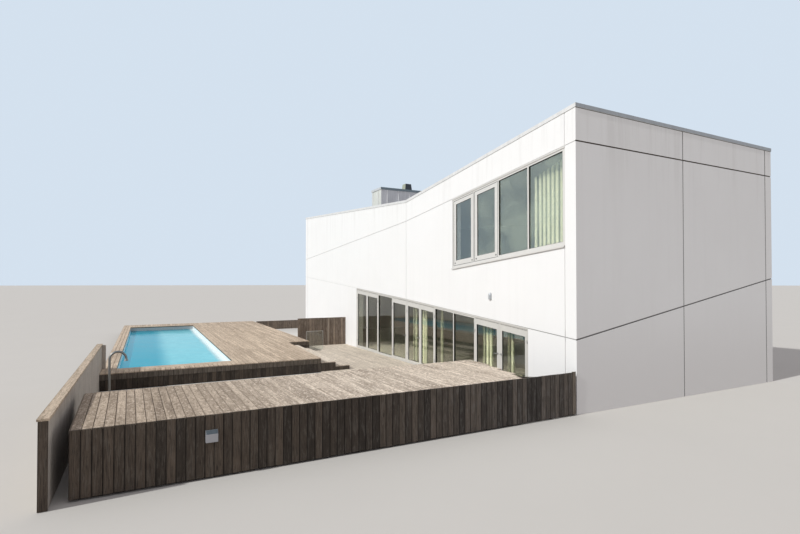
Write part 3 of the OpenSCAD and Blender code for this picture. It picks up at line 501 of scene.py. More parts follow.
def cloth_material(near_x, far_x):
    """Thin pale green curtain cloth with a plain weave, with painted shade in the folds away from the
    glass.
    """
    n = surface("curtain")
    weave = n.add("TexWave", wave_type="BANDS", bands_direction="Z")
    n.fill(weave, Vector=n.place(), Scale=160)
    weft = n.noise(n.place((1, 1, 8)), 60, 2)
    n.base = n.mix(n.noise(n.place((1, 1, 0.3)), 6, 3), (0.87, 0.86, 0.66), (0.94, 0.93, 0.75))
    # Painted shade in the folds, deepest away from the glass.
    fold_shade = n.ramp(n.parts()[0], *(near_x + (far_x - near_x) * share for share in (0.40, 0.66)))
    n.coat(fold_shade, (0.13, 0.145, 0.085), 0.95)
    n.finish(n.plus(weave.outputs[1], weft), 0.15, 0.0006, Roughness=0.9, Sheen_Weight=0.3,
             Specular_IOR_Level=0.2)
    glow = n.wire(n.add("BsdfTranslucent"), n.base)
    n.feed(n.blend(0.22, n.shader.outputs[0], glow), n.out.inputs[0])
    return n.owner


def plain_rough(name, low, high, rough, scale, grain=60.0, depth=0.002):
    """Rubber, timber made near black by painted shade where it lies in the dark, a lens, or a painted
    shadow strip: two close colours, clouded, with a fine grain.
    """
    n = surface(name)
    n.base = n.mix(n.ramp(n.noise(n.place(), scale, 5, 0.6), 0.3, 0.7), low, high)
    return n.finish(n.noise(n.place(), grain, 3), 0.3, depth, Roughness=rough, Specular_IOR_Level=0.3)


def inside_material(name, above, wide, boards):
    """Floors and roof slopes: boards or sheets of a width above, a white ceiling below."""
    n = surface(name)
    x, y, _ = n.parts()
    across = n.math("DIVIDE", x if boards else y, wide)
    board = n.add("TexWhiteNoise", noise_dimensions="1D")
    n.fill(board, W=n.math("FLOOR", across))
    grain = n.noise(n.place((30, 1.6, 30) if boards else (1, 1, 1)), 1.0, 4, 0.6)
    line = n.less_than(n.fraction(across), 0.012 / wide)
    n.base = n.mix(n.times(board.outputs["Value"], 0.6), above, shade(above, 0.8))
    n.coat(n.ramp(grain, 0.4, 0.7), shade(above, 0.8), 0.5)
    n.coat(line, shade(above, 0.35), 0.7)
    n.coat(n.facing(2, -1), (0.82, 0.82, 0.80))
    return n.finish(n.minus(grain, line), 0.15, 0.001, Roughness=0.6)


def brushed(name, colour, rough):
    n = surface(name)
    lines = n.noise(n.place((1, 1, 40)), 12, 3)
    n.base = n.mix(lines, colour, shade(colour, 0.8))
    return n.finish(lines, 0.08, 0.0004, Metallic=1.0, Roughness=rough)


def tinted(colours, factor):
    """A set of colours, each multiplied by one more."""
    return tuple(tuple(c * f for c, f in zip(colour, factor)) for colour in colours)


WALL_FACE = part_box("facade_low_near")[0].x
PALE_WOOD = ((0.69, 0.605, 0.51), (0.44, 0.375, 0.31), (0.25, 0.205, 0.165), (0.80, 0.72, 0.63))
GREY_WOOD = (0.66, 0.62, 0.575)
BLUE_SHADE = (1.30, 1.42, 1.58)
platform_low, platform_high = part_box("platform_deck")
chimney_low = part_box("chimney_box")[0]
LAMP_GRAIN = (80, 0.0004)
M = {
    "wall": wall_material(),
    "frame": painted("frame_paint", FRAME_PAINT, 0.42, 0.06),
    "upper_frame": fitted_paint("upper_frame_paint", UPPER_PAINT),
    "hinged_frame": fitted_paint("hinged_frame_paint", FRAME_PAINT, WALL_FACE + 0.003, True),
    "leaf": fitted_paint("leaf_paint", FRAME_PAINT, WALL_FACE - 0.2),
    # Each sheet metal's second colour is painted shade on faces along the blank ends, on the coping also
    # a painted bluish sky reflection; the chimney's tuple adds painted highlights on its seams.
    "coping": sheet_metal("coping_metal", (0.80, 0.79, 0.77), 0.45, 0.15, (0.40, 0.415, 0.43)),
    "chimney": sheet_metal("chimney_metal", (0.90, 0.90, 0.89), 0.42, 0.1, (0.77, 0.77, 0.79),
                           (chimney_low.x + 0.028, (0.70, 0.715, 0.66), chimney_low.y)),
    "cap": sheet_metal("cap_metal", (0.62, 0.63, 0.63), 0.4, 0.2, (0.20, 0.25, 0.28)),
    "cowl": sheet_metal("cowl_metal", (0.35, 0.37, 0.28), 0.5, 0.1, (0.03, 0.035, 0.045)),
    "glass": glass_material("glass", (0.86, 0.90, 0.85), 2.0, (0.84, 0.83, 0.79), (
        0.05, 0.17, (0.57, 0.64, 0.53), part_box("upper_window_glass")[1].y - 0.8), (0.87, 1.0, 1.0)),
    "low_glass": glass_material("low_glass", (0.84, 0.85, 0.78), 1.50, (0.84, 0.84, 0.79), (
        0.012, 0.045, (0.42, 0.42, 0.31), BEYOND)),
    "guard": glass_material("guard_glass", (0.86, 0.92, 0.90), 1.5, (0.8, 0.85, 0.83)),
    "deck": timber("deck_wood", *tinted(PALE_WOOD, (1.125, 1.04, 0.935)), flecks=0.45,
                   blotches=0.65, patches=0.45),
    "terrace": timber("terrace_wood", *tinted(PALE_WOOD, (1.22, 1.22, 1.20)), flecks=0.35,
                      blotches=0.6, patches=0.30),
    "front_deck": timber("front_deck_wood", *tinted(PALE_WOOD, (1.25, 1.225, 1.19)), wear_and_shade=(
        platform_high.x - 3.6, platform_low.x + 0.9, GREY_WOOD), flecks=0.85, blotches=0.8, patches=0.75),
    "fence_cap": timber("fence_cap_wood", *tinted(PALE_WOOD, (0.88, 0.81, 0.72)), flecks=0.6),
    "fence": timber("fence_wood", (0.57, 0.515, 0.455), (0.46, 0.41, 0.36), (0.34, 0.30, 0.26),
                    (0.62, 0.57, 0.51), 0.6),
    # Towards its right end the skirt grows bluer and lighter: painted bluish skylight, multiplied in by
    # BLUE_SHADE.
    "skirt": timber("skirt_wood", (0.118, 0.090, 0.068), (0.040, 0.031, 0.024),
                    (0.014, 0.011, 0.009), (0.17, 0.15, 0.128), 0.7, wear_and_shade=(
        platform_low.x + 3.2, platform_high.x, BLUE_SHADE), blotches=0.5),
    "fascia": timber("fascia_wood", (0.215, 0.18, 0.145), (0.11, 0.092, 0.075),
                     (0.05, 0.042, 0.034), (0.27, 0.235, 0.195), 0.5, blotches=0.7),
    "batten": timber("batten_wood", (0.42, 0.36, 0.30), (0.36, 0.30, 0.25),
                     (0.20, 0.165, 0.135), (0.46, 0.40, 0.34), 0.3),
    "screen": timber("screen_wood", (0.34, 0.27, 0.212), (0.19, 0.15, 0.12),
                     (0.08, 0.062, 0.048), (0.36, 0.30, 0.245), 0.6),
    # Near black: painted shade on the bearers and the fill under the pool deck boards.
    "bearer": plain_rough("bearer_wood", (0.03, 0.026, 0.022), (0.05, 0.042, 0.036), 0.9, 4),
    "floor": inside_material("floor", (0.34, 0.31, 0.26), 0.18, True),
    "roof": inside_material("roof_membrane", (0.20, 0.205, 0.21), 1.05, False),
    "rubber": plain_rough("dark_gasket", (0.012, 0.013, 0.013), (0.022, 0.023, 0.022), 0.6, 8),
    # Painted shadow under the coping on the blank ends.
    "shadow_gap": plain_rough("shadow_gap", (0.15, 0.147, 0.14), (0.18, 0.175, 0.168), 0.8, 4),
    "liner": liner_material(),
    "cloth": cloth_material(*(corner.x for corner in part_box("curtains"))),
    "pipe": brushed("pipe_metal", (0.25, 0.245, 0.235), 0.4),
    "lamp": brushed("lamp_metal", (0.56, 0.56, 0.56), 0.5),
    "lamp_body": painted("lamp_paint", (0.40, 0.40, 0.42), 0.4, 0.08),
    # Painted shadow under the coping along the long walls.
    "pale_shadow_gap": plain_rough("pale_shadow_gap", (0.40, 0.39, 0.375), (0.46, 0.45, 0.43), 0.8, 4),
    "trim": brushed("trim_metal", (0.80, 0.80, 0.79), 0.35),
    "lens": plain_rough("lamp_lens", (0.075, 0.093, 0.108), (0.09, 0.11, 0.125), 0.25, 20, *LAMP_GRAIN),
}

WORN_BY = {
    "wall": "facade_* gable_wall_* back_wall_* end_wall",
    "coping": "roof_coping",
    "roof": "roof_*_slope",
    "floor": "*_floor",
    "frame": "back_window_frames",
    "hinged_frame": "lower_window_frame",
    "upper_frame": "upper_window_frame upper_window_sashes",
    "leaf": "door_*_leaf",
    "low_glass": "door_*_glass lower_window_glass back_window_glass",
    "glass": "upper_window_glass",
    "bearer": "platform_frame pool_deck_frame",
    "chimney": "chimney_box",
    "cap": "chimney_cap",
    "cowl": "flue_cowl",
    "liner": "pool_basin",
    "guard": "glass_guard",
    "lamp": "wall_lamp",
    "lamp_body": "skirt_lamp",
    "pipe": "standpipe",
}


def dress_nodes():
    for key, patterns in WORN_BY.items():
        for name, node in nodes.items():
            if any(fnmatch(name, pattern) for pattern in patterns.split()):
                node.data.materials.clear()
                node.data.materials.append(M[key])


# Outlines

def edges(ring):
    return list(zip(ring, ring[1:] + ring[:1]))


def area(ring):
    """The area inside an outline, below zero where it runs clockwise."""
    return sum(a[0] * b[1] - b[0] * a[1] for a, b in edges(ring)) / 2


def rectangle(x0, y0, x1, y1):
    return [(x0, y0), (x1, y0), (x1, y1), (x0, y1)]


def span(points, axis):
    values = [p[axis] for p in points]
    return min(values), max(values)


def inset(corners, distance):
    """A convex outline, counterclockwise, moved inwards by a distance."""
    lines = []
    for (ax, ay), (bx, by) in edges(corners):
        length = math.hypot(bx - ax, by - ay) or 1e-9
        nx, ny = -(by - ay) / length, (bx - ax) / length
        lines.append((nx, ny, nx * ax + ny * ay + distance))
    out = []
    for i, corner in enumerate(corners):
        (a, b, c), (d, e, f) = lines[i - 1], lines[i]
        det = a * e - b * d
        if abs(det) < 1e-6:
            out.append((corner[0] + distance * d, corner[1] + distance * e))
        else:
            out.append(((c * e - b * f) / det, (a * f - c * d) / det))
    return out


def clipped(corners, axis, low, high):
    """The part of a convex outline between two lines across an axis."""
    for sign, limit in ((1, high), (-1, -low)):
        out = []
        for p, q in edges(corners):
            dp, dq = limit - sign * p[axis], limit - sign * q[axis]
            if dp >= 0:
                out.append(p)
            if (dp > 0) != (dq > 0) and abs(dp - dq) > 1e-9:
                t = dp / (dp - dq)
                out.append((p[0] + t * (q[0] - p[0]), p[1] + t * (q[1] - p[1])))
        corners = out
    return corners


def tidy(corners, least=0.004):
    """The outline without doubled corners, or None where nothing of use is left."""
    out = []
    for p in corners:
        if not out or math.dist(p, out[-1]) > least:
            out.append(p)
    if len(out) > 1 and math.dist(out[0], out[-1]) <= least:
        out.pop()
    if len(out) < 3 or abs(area(out)) < 1e-4:
        return None
    return out if area(out) > 0 else out[::-1]


def top_loops(name, height=None):
    """The outlines of a node's upward faces at a height, as lists of (x, y)."""
    mesh = nodes[name].data
    height = max(v.co.z for v in mesh.vertices) if height is None else height
    free = set()
    for face in mesh.polygons:
        if face.normal.z < 0.99 or abs(face.center.z - height) > 0.002:
            continue
        ring = [tuple(round(c, 4) for c in mesh.vertices[i].co) for i in face.vertices]
        for a, b in edges(ring):
            if (b, a) in free:
                free.remove((b, a))
            else:
                free.add((a, b))
    after = dict(free)
    loops = []
    while after:
        first, current = next(iter(after.items()))
        loop = [first]
        del after[first]
        while current != first:
            loop.append(current)
            current = after.pop(current)
        loops.append([p[:2] for p in loop])
    return loops


def trapezoids(loops):
    """Cuts outlines with holes into convex pieces between lines across Y."""
    levels = sorted({round(p[1], 3) for loop in loops for p in loop})
    out = []
    for low, high in zip(levels, levels[1:]):
        if high - low < 0.01:
            continue
        middle = (low + high) / 2
        crossings = []
        for loop in loops:
            for (ax, ay), (bx, by) in edges(loop):
                if min(ay, by) < middle < max(ay, by):
                    crossings.append([ax + (bx - ax) * (y - ay) / (by - ay) for y in (middle, low, high)])
        crossings.sort()
        for left, right in zip(crossings[::2], crossings[1::2]):
            out.append([(left[1], low), (right[1], low), (right[2], high), (left[2], high)])
    return out


# Meshes and boards

def level(z):
    return Matrix.Translation((0, 0, z))


class Shape:
    """A mesh under way, to which plain solids and sheets are added."""

    def __init__(self):
        self.verts, self.faces = [], []

    def tube(self, rings, closed=False):
        """Adds rings of points, each joined to the next, and the last to the first if closed."""
        base, count = len(self.verts), len(rings[0])
        for ring in rings:
            self.verts.extend(ring)
        for r in range(len(rings) if closed else len(rings) - 1):
            a, b = base + r * count, base + (r + 1) % len(rings) * count
            for i in range(count):
                j = (i + 1) % count
                self.faces.append((a + i, a + j, b + j, b + i))

    def solid(self, *rings):
        """Adds a solid from rings, foot to top, which run counterclockwise seen from its top."""
        base, count = len(self.verts), len(rings[0])
        self.tube(rings)
        end = len(self.verts)
        self.faces.append(tuple(range(end - count, end)))
        self.faces.append(tuple(range(base + count - 1, base - 1, -1)))

    def block(self, low, high):
        """Adds a plain block between two corners."""
        outline = rectangle(low[0], low[1], high[0], high[1])
        self.solid(*([(*p, z) for p in outline] for z in (low[2], high[2])))

    def frame(self, outer, inner, x0, x1):
        """Adds a closed frame between two outlines in (y, z), from x0 to x1."""
        self.tube([[(x, *p) for p in loop]
                   for loop, x in ((outer, x0), (inner, x0), (inner, x1), (outer, x1))], True)

    def disc(self, centre, radius, thick, sides=14):
        """Adds a flat screw head on a face that looks towards -X."""
        x, y, z = centre
        turns = [-2 * math.pi * i / sides for i in range(sides)]
        rings = ((0.0, radius), (thick * 0.6, radius), (thick, radius * 0.75))
        self.solid(*([(x - proud, y + r * math.cos(t), z + r * math.sin(t)) for t in turns]
                     for proud, r in rings))

    def grid(self, columns, rows, spot):
        """Adds a sheet of points, spot(column, row), with a face between each four."""
        self.verts = [spot(c, r) for r in range(rows + 1) for c in range(columns + 1)]
        for r in range(rows):
            for c in range(columns):
                a = r * (columns + 1) + c
                self.faces.append((a, a + 1, a + columns + 2, a + columns + 1))

    def make(self, name, key, body=HOUSE, smooth=False):
        mesh = bpy.data.meshes.new(name)
        mesh.from_pydata([tuple(v) for v in self.verts], [], self.faces)
        mesh.validate()
        mesh.update()
        mesh.materials.append(M[key])
        if smooth:
            mesh.polygons.foreach_set("use_smooth", [True] * len(mesh.polygons))
        obj = in_scene(name, mesh)
        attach(obj, body)
        return obj


class Boards(Shape):
    """Bevelled boards in one mesh, each with its own grain coordinates and tone."""

    def __init__(self, seed):
        super().__init__()
        self.random = random.Random(seed)
        self.grain, self.tone = [], []

    def add(self, corners, place, thick, bevel, tone, lengthwise=0):
        """corners are (u, v) in the place's frame; the face at w = thick is the outer one."""
        corners = tidy(corners)
        if corners is None:
            return
        edge = min(p[1 - lengthwise] for p in corners)
        shift = (SCREWS_EVERY * self.random.randint(-60, 60), self.random.randint(-40, 40) - edge)
        rings = ((corners, 0.0), (corners, thick - bevel), (inset(corners, bevel), thick))
        self.solid(*([place @ Vector((*p, w)) for p in ring] for ring, w in rings))
        self.grain.extend((p[lengthwise] - 0.08 + shift[0], p[1 - lengthwise] + shift[1], w)
                          for ring, w in rings for p in ring)
        self.tone.extend([tone] * (len(rings) * len(corners)))

    def build(self, name, key, *replaced):
        obj = self.make(name, key)
        grain = obj.data.attributes.new("grain", "FLOAT_VECTOR", "POINT")
        grain.data.foreach_set("vector", np.array(self.grain, np.float32).ravel())
        tone = obj.data.attributes.new("tone", "FLOAT", "POINT")
        tone.data.foreach_set("value", np.array(self.tone, np.float32))
        if replaced:
            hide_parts(*replaced)


PITCH = 0.138
GAP = 0.008
BUTT = 0.002
BOARD = 0.028
DECK_BEVEL = 0.004
UPRIGHT_BEVEL = 0.003
ROW_BOARD = 3.6
FILL_BEVEL = 0.001


def strip_pieces(loops, low, high):
    """Outlines of one strip of boards along Y, whole lengths joined into one."""
    pieces, run = [], None
    for shape in trapezoids(loops):
        part = tidy(clipped(shape, 0, low, high), 0.002)
        if part is None:
            continue
        start, end = span(part, 1)
        full = len(part) == 4 and all(min(abs(p[0] - low), abs(p[0] - high)) < 1e-4 for p in part)
        if full and run and abs(run[1] - start) < 0.002:
            run[1] = end
        elif full:
            run = [start, end]
            pieces.append(run)
        else:
            run = None
            pieces.append(part)
    return [p if len(p) > 2 else rectangle(low, p[0], high, p[1]) for p in pieces]


def butted(shape, axis, start, end, length):
    """The parts of an outline between butt joints, from a start to an end along an axis."""
    while start < end:
        yield clipped(shape, axis, start + BUTT, start + length - BUTT)
        start += length


def lay_row(boards, shape, axis, start, end, place, tones):
    """One row of butted boards along an axis."""
    for part in butted(shape, axis, start, end, ROW_BOARD):
        boards.add(part, place, BOARD, DECK_BEVEL, boards.random.uniform(*tones), axis)


def lay_deck(boards, loops, height, length=4.2, origin=0.0, tones=(0.15, 1.0), turn=0.0):
    """Boards over an outline, with staggered butt joints; they run along Y, turned by an angle."""
    back, spin = Matrix.Rotation(-turn, 2), Matrix.Rotation(turn, 4, "Z")
    loops = [[tuple(back @ Vector(p)) for p in loop] for loop in loops]
    (x0, x1), (y0, y1) = (span([p for loop in loops for p in loop], axis) for axis in (0, 1))
    if origin is None:
        origin = x0 + 0.01
    for k in range(math.floor((x0 - origin) / PITCH), math.ceil((x1 - origin) / PITCH)):
        low, high = origin + k * PITCH + GAP / 2, origin + (k + 1) * PITCH - GAP / 2
        offset = boards.random.uniform(0, length)
        for piece in strip_pieces(loops, low, high):
            for part in butted(piece, 1, y0 - offset, y1, length):
                place = spin @ level(height - BOARD + boards.random.uniform(-0.0012, 0.0))
                boards.add(part, place, BOARD, DECK_BEVEL, boards.random.uniform(*tones), 1)


def wall_frame(start, end, outward_left=False):
    """Axes of an upright face from start to end: u runs up, v along, w outwards."""
    a, b = Vector((*start, 0)), Vector((*end, 0))
    along = (b - a).normalized()
    up = Vector((0, 0, 1))
    out = up.cross(along) if outward_left else along.cross(up)
    return Matrix((*zip(up, along, out, a), (0, 0, 0, 1))), (b - a).length


def board_wall(boards, start, end, low, high, thick, outward_left=False, pitch=PITCH,
               ragged=0.004, tones=(0.0, 1.0), gap=0.005):
    """Upright boards from start to end, whose backs stand on the line between them."""
    place, length = wall_frame(start, end, outward_left)
    count = max(1, round(length / pitch))
    step = length / count
    for i in range(count):
        top = high - boards.random.uniform(0, ragged)
        bottom = low + boards.random.uniform(0, 2 * ragged)
        deep = thick - boards.random.uniform(0, 0.003)
        corners = rectangle(bottom, i * step + gap / 2, top, (i + 1) * step - gap / 2)
        boards.add(corners, place, deep, UPRIGHT_BEVEL, boards.random.uniform(*tones))


# Decks, skirts and fences

END_BOARD = 0.115
END_RISE = 0.015
SKIRT_GAP = 0.008


def build_platform():
    ring = tidy(top_loops("platform_deck")[0])
    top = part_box("platform_deck")[1].z
    outer = inset(ring, -BOARD)
    near_y, _ = span(ring, 1)
    foot, head = sorted(sorted(ring)[:2], key=lambda p: p[1])
    deck = Boards(11)
    lay_deck(deck, [clipped(outer, 1, near_y, BEYOND)], top, 6.0, None, (-0.25, 1.0),
             math.atan2(foot[0] - head[0], head[1] - foot[1]))
    deck.build("platform_boards", "front_deck", "platform_deck")

    low, run_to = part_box("platform_skirt")[0].z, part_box("platform_skirt")[1].x
    mids = [a[1] + b[1] for a, b in edges(ring)]
    front = mids.index(min(mids))
    skirt, corner = Boards(12), Boards(13)
    for i, (a, b) in enumerate(edges(ring)):
        if i != front:
            board_wall(skirt, a, b, low, top - BOARD - 0.001, BOARD, gap=SKIRT_GAP)
    y = ring[front][1]
    last = (run_to - END_BOARD, y)
    board_wall(skirt, (outer[front][0], y), last, low, top, BOARD, gap=SKIRT_GAP, tones=(-0.1, 1.0))
    skirt.build("platform_skirt_boards", "skirt", "platform_skirt")
    board_wall(corner, last, (run_to, y), low, top + END_RISE, BOARD)
    corner.build("corner_board", "fascia", "platform_skirt")


COPING_BOARDS = 3


def build_pool_deck():
    outer, hole = sorted(top_loops("pool_deck"), key=lambda loop: -abs(area(loop)))
    low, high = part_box("pool_deck")
    hx, hy = span(hole, 0), span(hole, 1)
    band = COPING_BOARDS * PITCH
    step = (hx[0] - low.x) / COPING_BOARDS
    flat = level(high.z - BOARD)
    deck = Boards(21)

    def long_board(x, y, axis):
        shape = rectangle(x[0], y[0], x[1], y[1])
        start = shape[0][axis] - deck.random.uniform(0, ROW_BOARD)
        lay_row(deck, shape, axis, start, shape[2][axis], flat, (0.35, 1.0))

    for k in range(COPING_BOARDS):
        x0, x1 = low.x + k * step, hx[1] + k * PITCH
        long_board((x0 + GAP / 2, x0 + step - GAP / 2), (low.y, high.y), 1)
        long_board((x1 + GAP / 2, x1 + PITCH - GAP / 2), (hy[0] - band, hy[1] + band), 1)
        for y0 in (hy[0] - (k + 1) * PITCH, hy[1] + k * PITCH):
            long_board((hx[0] + GAP / 2, hx[1] - GAP / 2), (y0 + GAP / 2, y0 + PITCH - GAP / 2), 0)
    rest = [(max(p[0], hx[0]), p[1]) for p in outer]
    around = rectangle(hx[0], hy[0] - band, hx[1] + band, hy[1] + band)
    lay_deck(deck, [rest, around], high.z, 4.2, hx[1] + band, (-0.2, 1.0))
    deck.build("pool_deck_boards", "deck", "pool_deck")

    under = Boards(22)
    for shape in trapezoids([outer, hole]):
        under.add(shape, level(low.z), high.z - BOARD - low.z - 0.002, FILL_BEVEL, 0.0)
    under.build("pool_deck_underlay", "bearer")


FASCIA = 0.17
FASCIA_GAP = 0.006
FASCIA_THICK = 0.012
SKIRT_THICK = 0.020
SKIRT_FOOT = 0.012
SET_BACK = 0.014


def build_deck_skirts():
    """Upright boards round the pool deck, under a band of short ones that stands proud."""
    ring = max(top_loops("pool_deck"), key=len)
    ring = ring if area(ring) > 0 else ring[::-1]
    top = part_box("pool_deck")[1].z - BOARD
    skirt, band = Boards(31), Boards(32)
    for a, b in edges(ring):
        out = Vector((b[1] - a[1], a[0] - b[0])).normalized()
        if out.x > 0.9 and max(a[1], b[1]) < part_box("terrace_steps")[1].y + 0.05:
            continue
        back, inner = ([(p[0] - out.x * d, p[1] - out.y * d) for p in (a, b)]
                       for d in (0.001, SET_BACK))
        if out.x < -0.9:
            along = max(a[1], b[1]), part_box("side_fence")[1].y
            back, inner = ([(p[0], y) for p, y in zip(line, along)] for line in (back, inner))
        board_wall(skirt, *inner, SKIRT_FOOT, top - FASCIA, SKIRT_THICK, tones=(0.0, 0.9))
        board_wall(band, *back, top - FASCIA + FASCIA_GAP, top, FASCIA_THICK, tones=(0.1, 0.6),
                   ragged=0.001)
    skirt.build("deck_skirt_boards", "skirt")
    band.build("deck_fascia_boards", "fascia")


def build_terrace():
    deck = Boards(41)
    lay_deck(deck, top_loops("terrace_deck"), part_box("terrace_deck")[1].z, tones=(0.25, 1.0))
    deck.build("terrace_boards", "terrace", "terrace_deck")


STEPS_MIDDLE = -3.0
TREAD_BOARDS = 4
TREAD_GAP = 0.006
RISER = (0.012, 0.012)
END_RISER = 0.006
END_PITCH = 0.6
CORE_IN = 0.004


def build_steps():
    """Treads of butted boards on a dark fill, with risers below."""
    heights = sorted({round(v.co.z, 4) for v in nodes["terrace_steps"].data.vertices})[1:]
    treads, risers = Boards(51), Boards(52)
    for below, height in zip([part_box("terrace_deck")[1].z, *heights], heights):
        loop = top_loops("terrace_steps", height)[0]
        loop.sort(key=lambda p: (p[1] > STEPS_MIDDLE, p[0]))
        (n0, n1), (f0, f1) = loop[:2], loop[2:]
        for k in range(TREAD_BOARDS):
            t0, t1 = k / TREAD_BOARDS + TREAD_GAP, (k + 1) / TREAD_BOARDS - TREAD_GAP
            quad = [(a[0] + (b[0] - a[0]) * t, a[1] + (b[1] - a[1]) * t)
                    for a, b, t in ((n0, n1, t0), (n0, n1, t1), (f0, f1, t1), (f0, f1, t0))]
            start = min(n0[1], n1[1]) - treads.random.uniform(0, 3)
            lay_row(treads, quad, 1, start, f0[1], level(height - BOARD), (0.3, 1.0))
        board_wall(risers, n0, n1, RISER[0], height - BOARD, RISER[1])
        board_wall(risers, n1, f1, below, height - BOARD, END_RISER, pitch=END_PITCH)
        core = inset(tidy([n0, n1, f1, f0]), CORE_IN)
        treads.add(core, level(0), height - BOARD - CORE_IN, FILL_BEVEL, 0.0, 1)
    treads.build("step_boards", "terrace", "terrace_steps")
    risers.build("step_risers", "skirt")


CAP_THICK = 0.035
CAP_OVER = 0.015
CAP_LENGTH = 3.4
FENCE_SIDE = 0.022
FOOT_GAP = 0.004


def build_fence():
    low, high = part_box("side_fence")
    inner_x, outer_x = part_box("pool_deck")[0].x, low.x + CAP_OVER
    in_x, out_x = inner_x - FENCE_SIDE, outer_x + FENCE_SIDE
    y0, y1 = low.y + FENCE_SIDE, high.y - FENCE_SIDE
    walls, caps, ends = Boards(61), Boards(62), Boards(63)
    top = high.z - CAP_THICK
    for x, a, b in ((in_x, y0, y1), (out_x, y1, y0)):
        board_wall(walls, (x, a), (x, b), FOOT_GAP, top, FENCE_SIDE, tones=(0.2, 1.0), ragged=0.001)
    ends.add(rectangle(out_x, y0, in_x, y1), level(0), top - 0.003, FILL_BEVEL, 0.0, 1)
    for y, left in ((y0, False), (y1, True)):
        place, wide = wall_frame((outer_x, y), (inner_x, y), left)
        ends.add(rectangle(FOOT_GAP, 0.001, top, wide - 0.001), place, FENCE_SIDE, UPRIGHT_BEVEL, 0.75)
    start = low.y
    while start < high.y:
        end = min(start + CAP_LENGTH, high.y)
        caps.add(rectangle(low.x, start + 0.001, inner_x + CAP_OVER, end - 0.001), level(top),
                 CAP_THICK, DECK_BEVEL, caps.random.uniform(0.5, 1.0), 1)
        start = end
    place, post = wall_frame((inner_x, high.y), (high.x, high.y))
    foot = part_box("pool_deck")[1].z
    walls.add(rectangle(foot, 0, top, post), place, post, DECK_BEVEL, 0.9)
    walls.build("fence_boards", "fence", "side_fence")
    ends.build("fence_core", "skirt")
    caps.build("fence_cap", "fence_cap")


SCREEN_SIDE = 0.02
SCREEN_CAP = 0.022
BATTEN_AT = 1.49
BATTEN = (0.06, 0.018)
BATTEN_ENDS = (0.035, 0.03)


def build_screens():
    """The screen wall and the low wall at the end of the deck, boarded on both sides."""
    for name, seed in (("screen_wall", 71), ("low_wall", 72)):
        low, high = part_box(name)
        y0, y1, top = low.y + SCREEN_SIDE, high.y - SCREEN_SIDE, high.z - SCREEN_CAP
        boards = Boards(seed)
        for y, left in ((y0, False), (y1, True)):
            board_wall(boards, (low.x, y), (high.x, y), FOOT_GAP, top, SCREEN_SIDE, left)
        boards.add(rectangle(low.x, y0, high.x, y1), level(0), top - 0.002, FILL_BEVEL, 0.0, 1)
        cap = rectangle(low.x, low.y, high.x, high.y)
        boards.add(cap, level(top), SCREEN_CAP, UPRIGHT_BEVEL, 0.9)
        boards.build(name + "_boards", "screen", name)
    low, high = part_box("screen_wall")
    post = Boards(73)
    place, _ = wall_frame((low.x + BATTEN_AT, low.y), (low.x + BATTEN_AT + BATTEN[0], low.y))
    post.add(rectangle(BATTEN_ENDS[0], 0, high.z - BATTEN_ENDS[1], BATTEN[0]), place, BATTEN[1],
             UPRIGHT_BEVEL, 0.9)
    post.build("screen_batten", "batten")


# Seals, beads, screws, trim, and the painted shadow under the coping

def loose_panes(name):
    """The separate sheets of a node: their corners in (y, z) and their x range."""
    mesh = nodes[name].data
    spots = [tuple(round(c, 4) for c in v.co) for v in mesh.vertices]
    parent = {spot: spot for spot in spots}

    def root(k):
        while parent[k] != k:
            k = parent[k]
        return k

    for face in mesh.polygons:
        first, *others = (spots[i] for i in face.vertices)
        for other in others:
            parent[root(other)] = root(first)
    groups = {}
    for k in parent:
        groups.setdefault(root(k), []).append(k)
    panes = []
    for group in groups.values():
        flat = sorted({k[1:] for k in group})
        cy, cz = (sum(p[i] for p in flat) / len(flat) for i in (0, 1))
        flat.sort(key=lambda p: math.atan2(p[1] - cz, p[0] - cy))
        panes.append((flat, *span(group, 0)))
    panes.sort(key=lambda p: p[0][0][0])
    return panes


BEAD = 0.005
BEAD_SPARE = 0.0008
BEAD_BACK = 0.002
SASH_BEAD_BACK = 0.006
GLASS_GAP = 0.0005
SASH_OUT = 0.025


def build_beads():
    """Dark rubber that lines each opening from the glass to the face of its frame or sash."""
    face_x = frame_face()
    for name in ["upper_window_glass", "lower_window_glass"] + [f"door_{i}_glass" for i in range(1, 8)]:
        shape = Shape()
        for flat, x0, _ in loose_panes(name):
            outer = inset(flat, BEAD_SPARE)
            in_sash = name.startswith("upper") and x0 < face_x + SASH_OUT
            front = face_x + (SASH_BEAD_BACK if in_sash else BEAD_BACK)
            shape.frame(outer, inset(outer, BEAD), front, x0 - GLASS_GAP)
        body = name[:6] if name.startswith("door") else HOUSE
        shape.make(name.replace("glass", "beads"), "rubber", body)
    back_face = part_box("back_window_frames")[1].x
    shape = Shape()
    for flat, _, x1 in loose_panes("back_window_glass"):
        outer = inset(flat, BEAD_SPARE)
        shape.frame(outer, inset(outer, BEAD), x1 + GLASS_GAP, back_face - BEAD_BACK)
    shape.make("back_beads", "rubber")


GASKET = (0.0006, 0.011)
GASKET_DEEP = (0.0055, 0.004)


def build_gaskets():
    """Dark lip seals that cover the gap round each opening sash of the upper window."""
    shape = Shape()
    face_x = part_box("upper_window_sashes")[0].x
    for flat, _, _ in loose_panes("upper_window_sashes"):
        left, right = (sorted(p for p in flat if abs(p[0] - y) < 0.001) for y in span(flat, 0))
        outline = [left[0], right[0], right[-1], left[-1]]
        inner, outer = (inset(outline, -reach) for reach in GASKET)
        shape.frame(outer, inner, face_x - GASKET_DEEP[0], face_x + GASKET_DEEP[1])
    shape.make("sash_gaskets", "rubber")


SCREW_IN = 0.055
SCREW_DOWN = 0.085
SCREW_HEAD = (0.024, 0.004)


